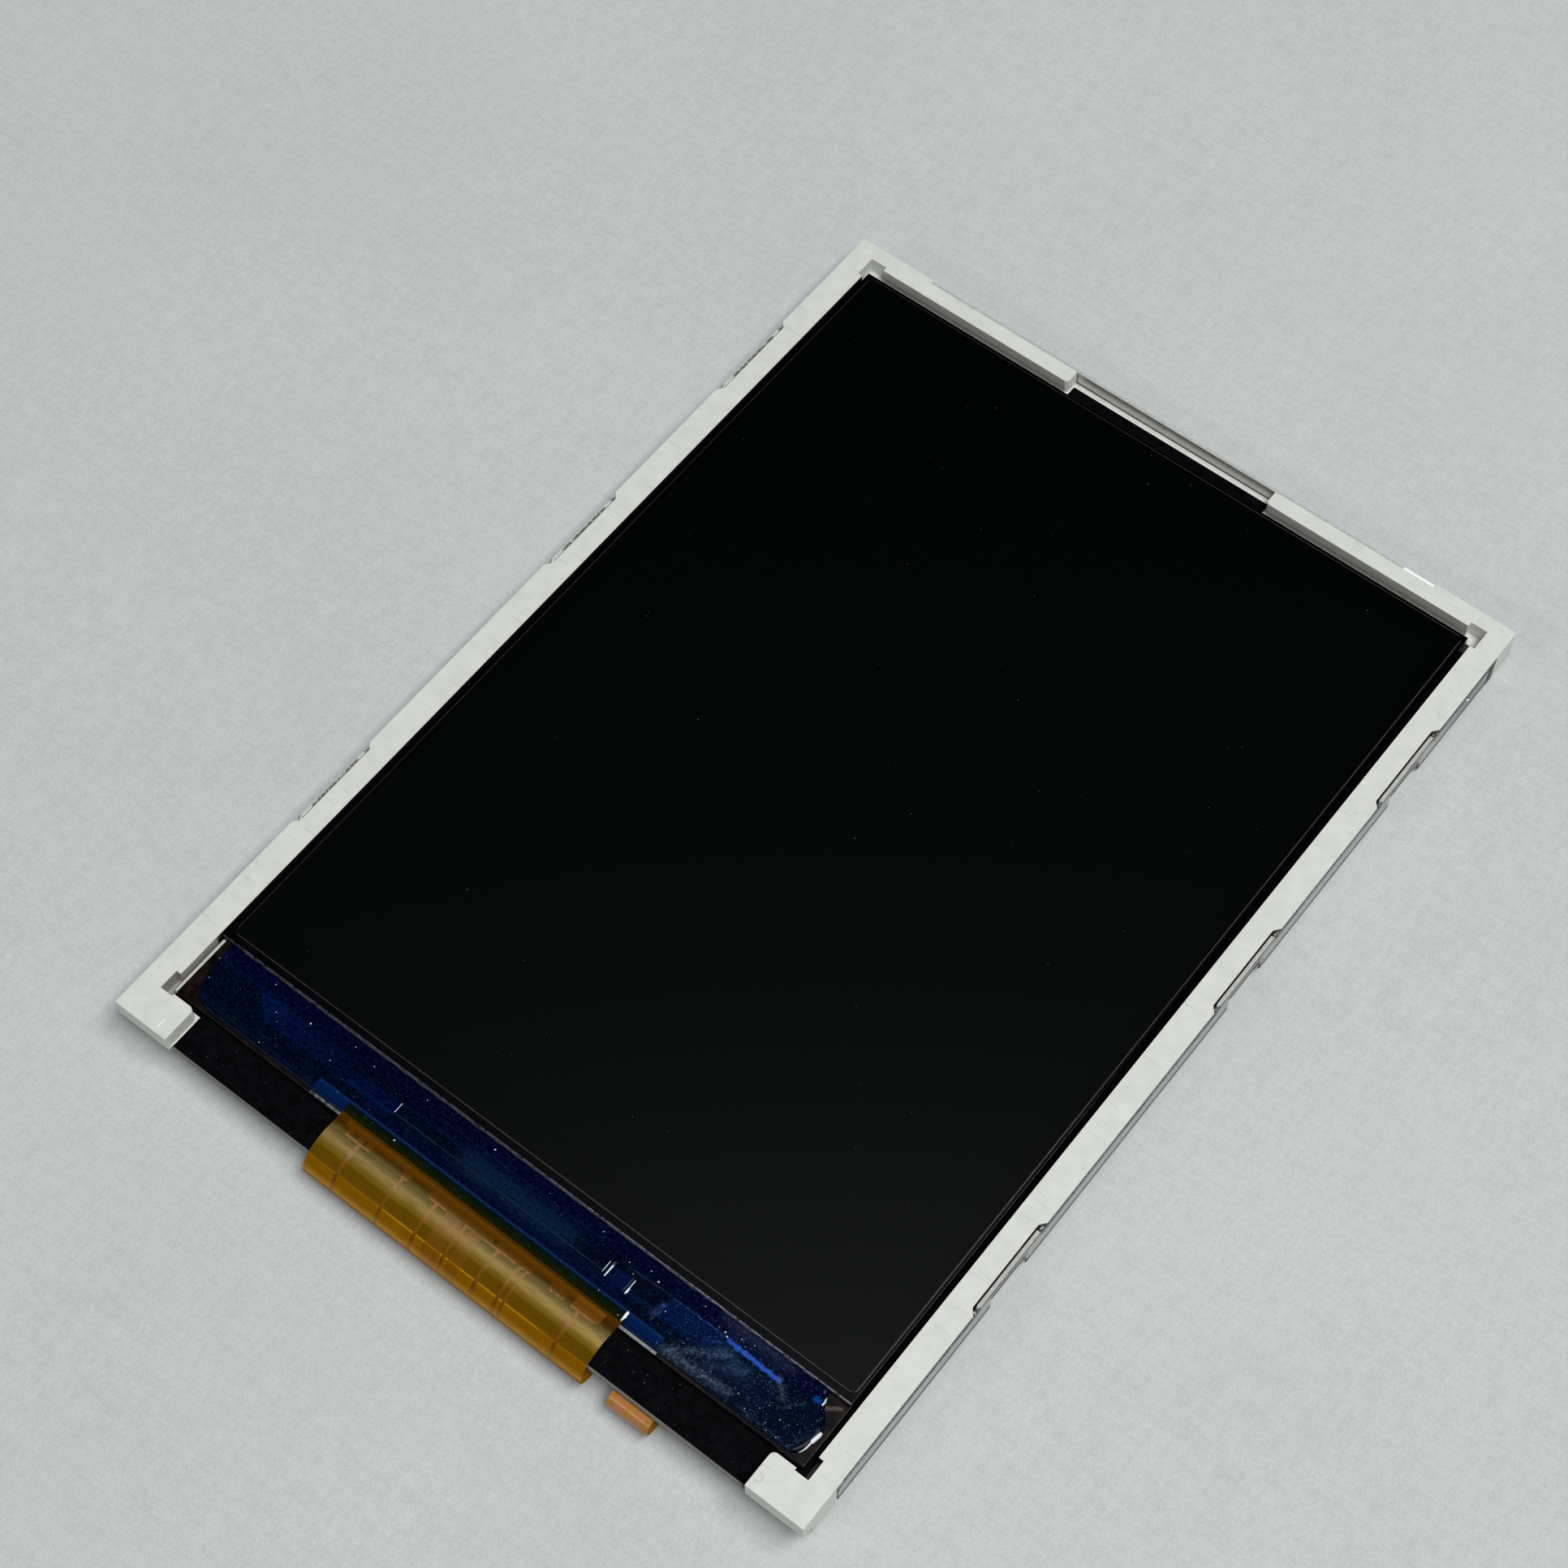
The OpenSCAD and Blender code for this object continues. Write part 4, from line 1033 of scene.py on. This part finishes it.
# Colours along the sheet; the lighter stretches on the crown and low on the bend are a painted sheen and
# a painted reflection of the paper.
copper.colour = along_sheet(copper, copper.attribute("run"), [
    (0.0, (60, 36, 4)), (0.75, (114, 72, 4)), (1.02, (98, 58, 2)), (1.15, (108, 66, 8)),
    (1.29, (112, 72, 22)), (1.36, (142, 104, 64)), (2.00, (160, 122, 80)), (2.50, (122, 84, 24)),
    (3.00, (102, 59, 0)), (3.60, (108, 60, 0)), (4.10, (156, 110, 56)), (4.50, (136, 92, 34)),
    (5.75, (144, 94, 32))])
copper.paint((wear.rise(0.6, 0.3) * 0.35).kept(), (96, 60, 30))
copper.settle(wear, 0.003)


def ribbon_rows(finish, lift, *plans):
    """Rows of ribbons. Each plan gives two distances along the flex, then first, width, pitch, count."""
    made = []
    for start, end, first, width, pitch, count in plans:
        path = path_between(start, end, lift)
        made.append(ribbon_row.cook(path, finish, First=first * MM, Width=width * MM,
                                    Pitch=pitch * MM, Count=count))
    return made


# %% Copper traces
# Distances along the flex: all fingers start, the longer ones go on and end, a cross bar joins
# them, a wide stem starts at the bar, and everything ends behind the fold.
pitch, finger = 0.12, 0.060
start, longer_from, finger_to = 0.70, 1.02, 1.36
bar_from, bar_to, stem_from, end = 1.33, 1.44, 1.42, 6.2
fingers = ribbon_rows(copper, -0.005, (start, 1.06, -8.16, finger, pitch, 120),
                      (start, finger_to, 6.22, 1.62, 2.0, 1))
longer = [(-7.90, 3), (-7.20, 3), (-6.66, 3), (-4.32, 4), (-2.65, 33), (1.55, 19), (4.86, 8)]
fingers += ribbon_rows(copper, -0.004, *[(longer_from, finger_to, x, finger, pitch, count)
                                         for x, count in longer])
bars = [(-7.87, 1.52), (-4.31, 0.37), (-2.45, 1.00), (-0.31, 0.37), (0.85, 2.00), (3.09, 0.27),
        (3.47, 0.24), (4.88, 0.24), (5.30, 0.22), (5.62, 0.17), (6.22, 1.40)]
stems = [(-7.05, 0.20), (-4.24, 0.15), (-2.12, 0.19), (-0.28, 0.17), (1.72, 0.20), (3.06, 0.17),
         (3.47, 0.13), (6.62, 0.19)]
fingers += ribbon_rows(copper, -0.003, *[(bar_from, bar_to, x, width, 1.0, 1) for x, width in bars],
                       *[(stem_from, end, x, width, 1.0, 1) for x, width in stems])
fingers += ribbon_rows(copper, -0.005, (finger_to, end, -1.36, 0.045, 0.09, 11),
                       (finger_to, end, 0.12, 0.045, 0.09, 8))
traces = joined("copper_traces", fingers)
traces.flip_normals()
top_faces = [p for p in traces.polygons if p.center.z > 1.6 * MM]
looking_up = sum(p.normal.z > 0 for p in top_faces)
print("copper faces on top that look up:", looking_up, "of", len(top_faces))
add_piece("copper_traces", keep_run(traces), copper)

# %% [markdown]
# ## Backlight flex
# A thinner flex with two copper lanes. It leaves the near end beside the main flex, folds under it,
# and is soldered to it by two pads.

# %% Backlight flex
thin_amber = Finish("thin_polyimide", Roughness=0.34, Coat_Weight=0.3, Coat_Roughness=0.2)
solder_low, solder_high = box_mm("backlight_solder")
lane_middle = (solder_low[0] + solder_high[0]) / 2
lanes = ((thin_amber.x - lane_middle).size() - 0.55).size()
lane = (1 - lanes.rise(0.33, 0.06)) * (1 - thin_amber.y.rise(-27.0, 0.2))
film = thin_amber.shades(thin_amber.noise(0.9, 4.0), (148, 96, 10), (172, 118, 22))
lane_grain = thin_amber.noise(7.0, 3.0)
thin_amber.colour = thin_amber.mix(lane * (0.7 + lane_grain * 0.3), film, (166, 104, 52))
thin_amber.settle(lane + lane_grain * 0.3, 0.006)
add_piece("backlight_tail", smoothed("backlight_flex"), thin_amber, ["backlight_flex"])

# %% [markdown]
# ## Back of the main flex
# The wide part carries eight small capacitors between copper lands, and the tail carries the
# contacts. Traces run from the fold to the tail under the cover sheet. Rows of vias join the two
# copper layers.

# %% Traces on the back
back_copper = simple_finish("back_copper", (168, 108, 44), (190, 130, 60), 0.38, depth_mm=0.003,
                            Metallic=0.3)
contact_run = runs[-1] - (contact_high[1] - contact_low[1])
contact_middle = (contact_low[0] + contact_high[0]) / 2
contact_pitch, tail_wide, body_wide = 0.5, 0.12, 0.14
contact_count = round((contact_high[0] - contact_low[0]) / contact_pitch)
tail_first = contact_middle - (contact_count - 1) / 2 * contact_pitch - tail_wide / 2
tail_row = (tail_first, tail_wide, contact_pitch, contact_count)

# The tail and the body, and the two rows of capacitors that the traces leave free.
tail_length, body_length, left_side, clear_of_row = 9.0, 10.6, -8.0, 1.0
tail_start, body_start = contact_run - 6.2, runs[-1] - tail_length - body_length
first_row, second_row = body_start + 3.2, body_start + 7.0
back_rows = ribbon_rows(
    back_copper, -0.004,
    (tail_start, contact_run + 0.2, *tail_row),
    (6.2, body_start - 0.3, left_side, body_wide, 0.36, 45),
    (body_start - 0.3, body_start + 2.6, left_side, body_wide, 0.72, 23),
    (first_row + clear_of_row, second_row - clear_of_row, left_side, body_wide, 0.50, 33),
    (second_row + clear_of_row, tail_start, *tail_row))
back_traces = joined("back_traces", back_rows)
back_traces.flip_normals()
add_piece("back_traces", back_traces, back_copper)

# %% Capacitor ends and solder
solder = simple_finish("tinned_solder", (172, 173, 176), (208, 209, 212), 0.22, 6.0, 3.0, 0.006,
                       Metallic=1.0)
capacitors = ["capacitor_%d" % number for number in range(1, 9)]
cap_inset, pool_reach, pool_rise = 0.11, 0.10, 0.03
ends, pools = [], []
for node in capacitors:
    low, high = box_mm(node)
    middle = (low[1] + high[1]) / 2
    for end, outward in ((low[0], -1), (high[0], 1)):
        ends.append((end - outward * cap_inset, middle, (low[2] + high[2]) / 2))
        pools.append((end + outward * pool_reach, middle, high[2] - pool_rise))
cap_size = ((high[0] - low[0]) * 0.26, high[1] - low[1] + 0.012, high[2] - low[2])


def blocks(name, places, finish, size_mm, crease):
    """A rounded block at each place."""
    size = [v * MM for v in size_mm]
    return block_row.cook(plain_mesh(name, places, []), finish, Size=size, Crease=crease)


tinned = [blocks("ends", ends, solder, cap_size, 0.85),
          blocks("pools", pools, solder, (0.42, 0.56, 0.10), 0.35)]
add_piece("tinned_ends", shade_smooth(joined("tinned_ends", tinned)), solder)

# %% Vias
via_rows, via_pitch, via_count = (-23.0, -19.1, -16.6), 1.12, 22
vias = []
for number in range(via_count):
    x = flex_low[0] + 2.4 + number * via_pitch
    if x < flex_high[0] - 1.0:
        vias += [(x + 0.28 * (y < -20), y, under_z - 0.004) for y in via_rows]
via_mesh = blocks("vias", vias, back_copper, (0.34, 0.34, 0.014), 0.0)
add_piece("back_vias", shade_smooth(via_mesh), back_copper)

# %% [markdown]
# ## The other finishes
# What lies inside the module keeps its solid, and gets a finish that would look right if the
# module were opened: pale films, clear acrylic, ceramic and plated gold.

# %% Other finishes
# Each row: finish, its two shades, roughness, grains a millimetre, and the solids that get it.
inside = [
    ("reflector_film", (226, 228, 230), (240, 242, 244), 0.2, 1.5, ["reflector_sheet"]),
    ("diffuser_film", (226, 226, 224), (238, 238, 236), 0.7, 6.0, ["diffuser_sheet"]),
    ("prism_film", (200, 204, 210), (222, 226, 232), 0.3, 9.0,
     ["lower_prism_sheet", "upper_prism_sheet"]),
    ("led_housing", (236, 230, 190), (246, 242, 214), 0.5, 3.0, ["led_%d" % n for n in range(1, 5)]),
    ("rear_polarizer_film", (20, 21, 23), (30, 31, 33), 0.3, 3.0, ["rear_polarizer"]),
    ("polished_silicon", (52, 58, 70), (70, 78, 92), 0.15, 3.0, ["driver_chip"]),
    ("clear_adhesive", (206, 204, 190), (222, 220, 208), 0.45, 3.0, ["flex_adhesive"]),
    ("stiffener_laminate", (146, 96, 22), (168, 116, 34), 0.4, 3.0, ["tail_stiffener"]),
    ("ceramic_body", (150, 116, 84), (176, 142, 108), 0.5, 3.0, capacitors),
]
for name, low, high, roughness, per_mm, nodes in inside:
    dress(simple_finish(name, low, high, roughness, per_mm), *nodes)
acrylic = simple_finish("clear_acrylic", (196, 208, 214), (214, 224, 228), 0.05, 0.8,
                        Transmission_Weight=0.6)
gold = simple_finish("plated_gold", (214, 172, 92), (236, 200, 120), 0.22, 8.0, Metallic=1.0)
dress(acrylic, "light_guide")
dress(gold, "tail_contacts")
dress(solder, "backlight_solder")

# The bonding film's bare near edge is milky, and shows beside the flex.
milky = Finish("bonding_film", Roughness=0.5)
ragged = milky.noise(3.0, 4.0)
left_part = milky.ramp(ragged, (0.42, (24, 26, 30)), (0.55, (88, 93, 98)))
right_part = milky.ramp(ragged, (0.35, (94, 98, 100)), (0.60, (128, 132, 133)))
milky.colour = milky.mix(milky.x.rise(0.0, 1.0), left_part, right_part)
milky.settle(ragged, 0.004)
dress(milky, "bonding_film")
print("inside layers dressed")

# %% [markdown]
# ## Dust
# A used screen gathers specks. The recipe strews small flattened balls on the gel, the tape and the
# polarizer, with a fixed seed for each, so that they lie in the same places every time.

# %% Dust
dust = Finish("pale_dust", Roughness=0.7, Specular_IOR_Level=0.3)
fluff = dust.noise(20.0, 2.0)
dust.feed("Base Color", dust.shades(fluff, (150, 156, 168), (222, 226, 230)))


def strewn(patches, seed, per_mm2, smallest, largest):
    """Specks on flat rectangles. Each one gives its limits in X, in Y, and its height."""
    points, faces = [], []
    for (x0, x1), (y0, y1), z in patches:
        n = len(points)
        points += [(x0, y0, z), (x1, y0, z), (x1, y1, z), (x0, y1, z)]
        faces.append((n, n + 1, n + 2, n + 3))
    return specks.cook(plain_mesh("dusty", points, faces), dust, Density=per_mm2 / MM ** 2, Seed=seed,
                       Smallest=smallest * MM, Largest=largest * MM)


gel_z = ledge_z + gel_depth
large_crumbs = [(-13.13, -25.03), (-1.67, -24.54), (-5.80, -27.15), (8.72, -24.92),
                (12.72, -24.92), (12.92, -25.04)]
small_crumbs = [
    (-15.91, -24.51), (-14.88, -25.62), (-11.06, -25.92), (-9.14, -24.84), (-5.93, -24.60),
    (-10.55, -24.62), (-1.78, -25.26), (-14.45, -27.34), (-19.1, -25.15), (-18.77, -26.25),
    (8.12, -24.71), (13.53, -24.73), (7.53, -25.34), (3.33, -25.36), (3.42, -26.25), (6.77, -26.95),
    (9.89, -25.84), (8.25, -27.34), (15.03, -26.86), (5.09, -24.57), (7.03, -25.0), (17.31, -26.67),
    (11.2, -24.5), (14.2, -24.6)]
tape_z, bare = box_mm("rim_tape")[1][2], 0.4
dusty = []
for spots, size in ((large_crumbs, 0.12), (small_crumbs, 0.07)):
    places = [(x, y, gel_z + 0.01) for x, y in spots]
    dusty.append(blocks("crumbs", places, dust, (size, size * 0.85, size * 0.5), 0.0))
dusty += [
    strewn([((-18.9, 9.5), (-27.4, -24.3), gel_z)], 3, 1.1, 0.006, 0.022),
    strewn([((9.5, 18.7), (-27.5, -24.3), gel_z)], 8, 3.6, 0.007, 0.030),
    strewn([((12.5, 18.5), (-27.5, -27.0), gel_z), ((16.0, 18.5), (-27.3, -25.4), gel_z)],
           12, 7.0, 0.008, 0.034),
    strewn([((-17.6, -9.2), (-30.0, -28.0), tape_z), ((9.0, 17.6), (-30.0, -28.0), tape_z)],
           5, 2.2, 0.006, 0.020),
    strewn([((screen_low[0] + bare, screen_high[0] - bare),
             (screen_low[1] + bare, screen_high[1] - bare), screen_high[2])], 7, 0.05, 0.008, 0.022),
]
add_piece("dust", joined("dust", dusty), dust)
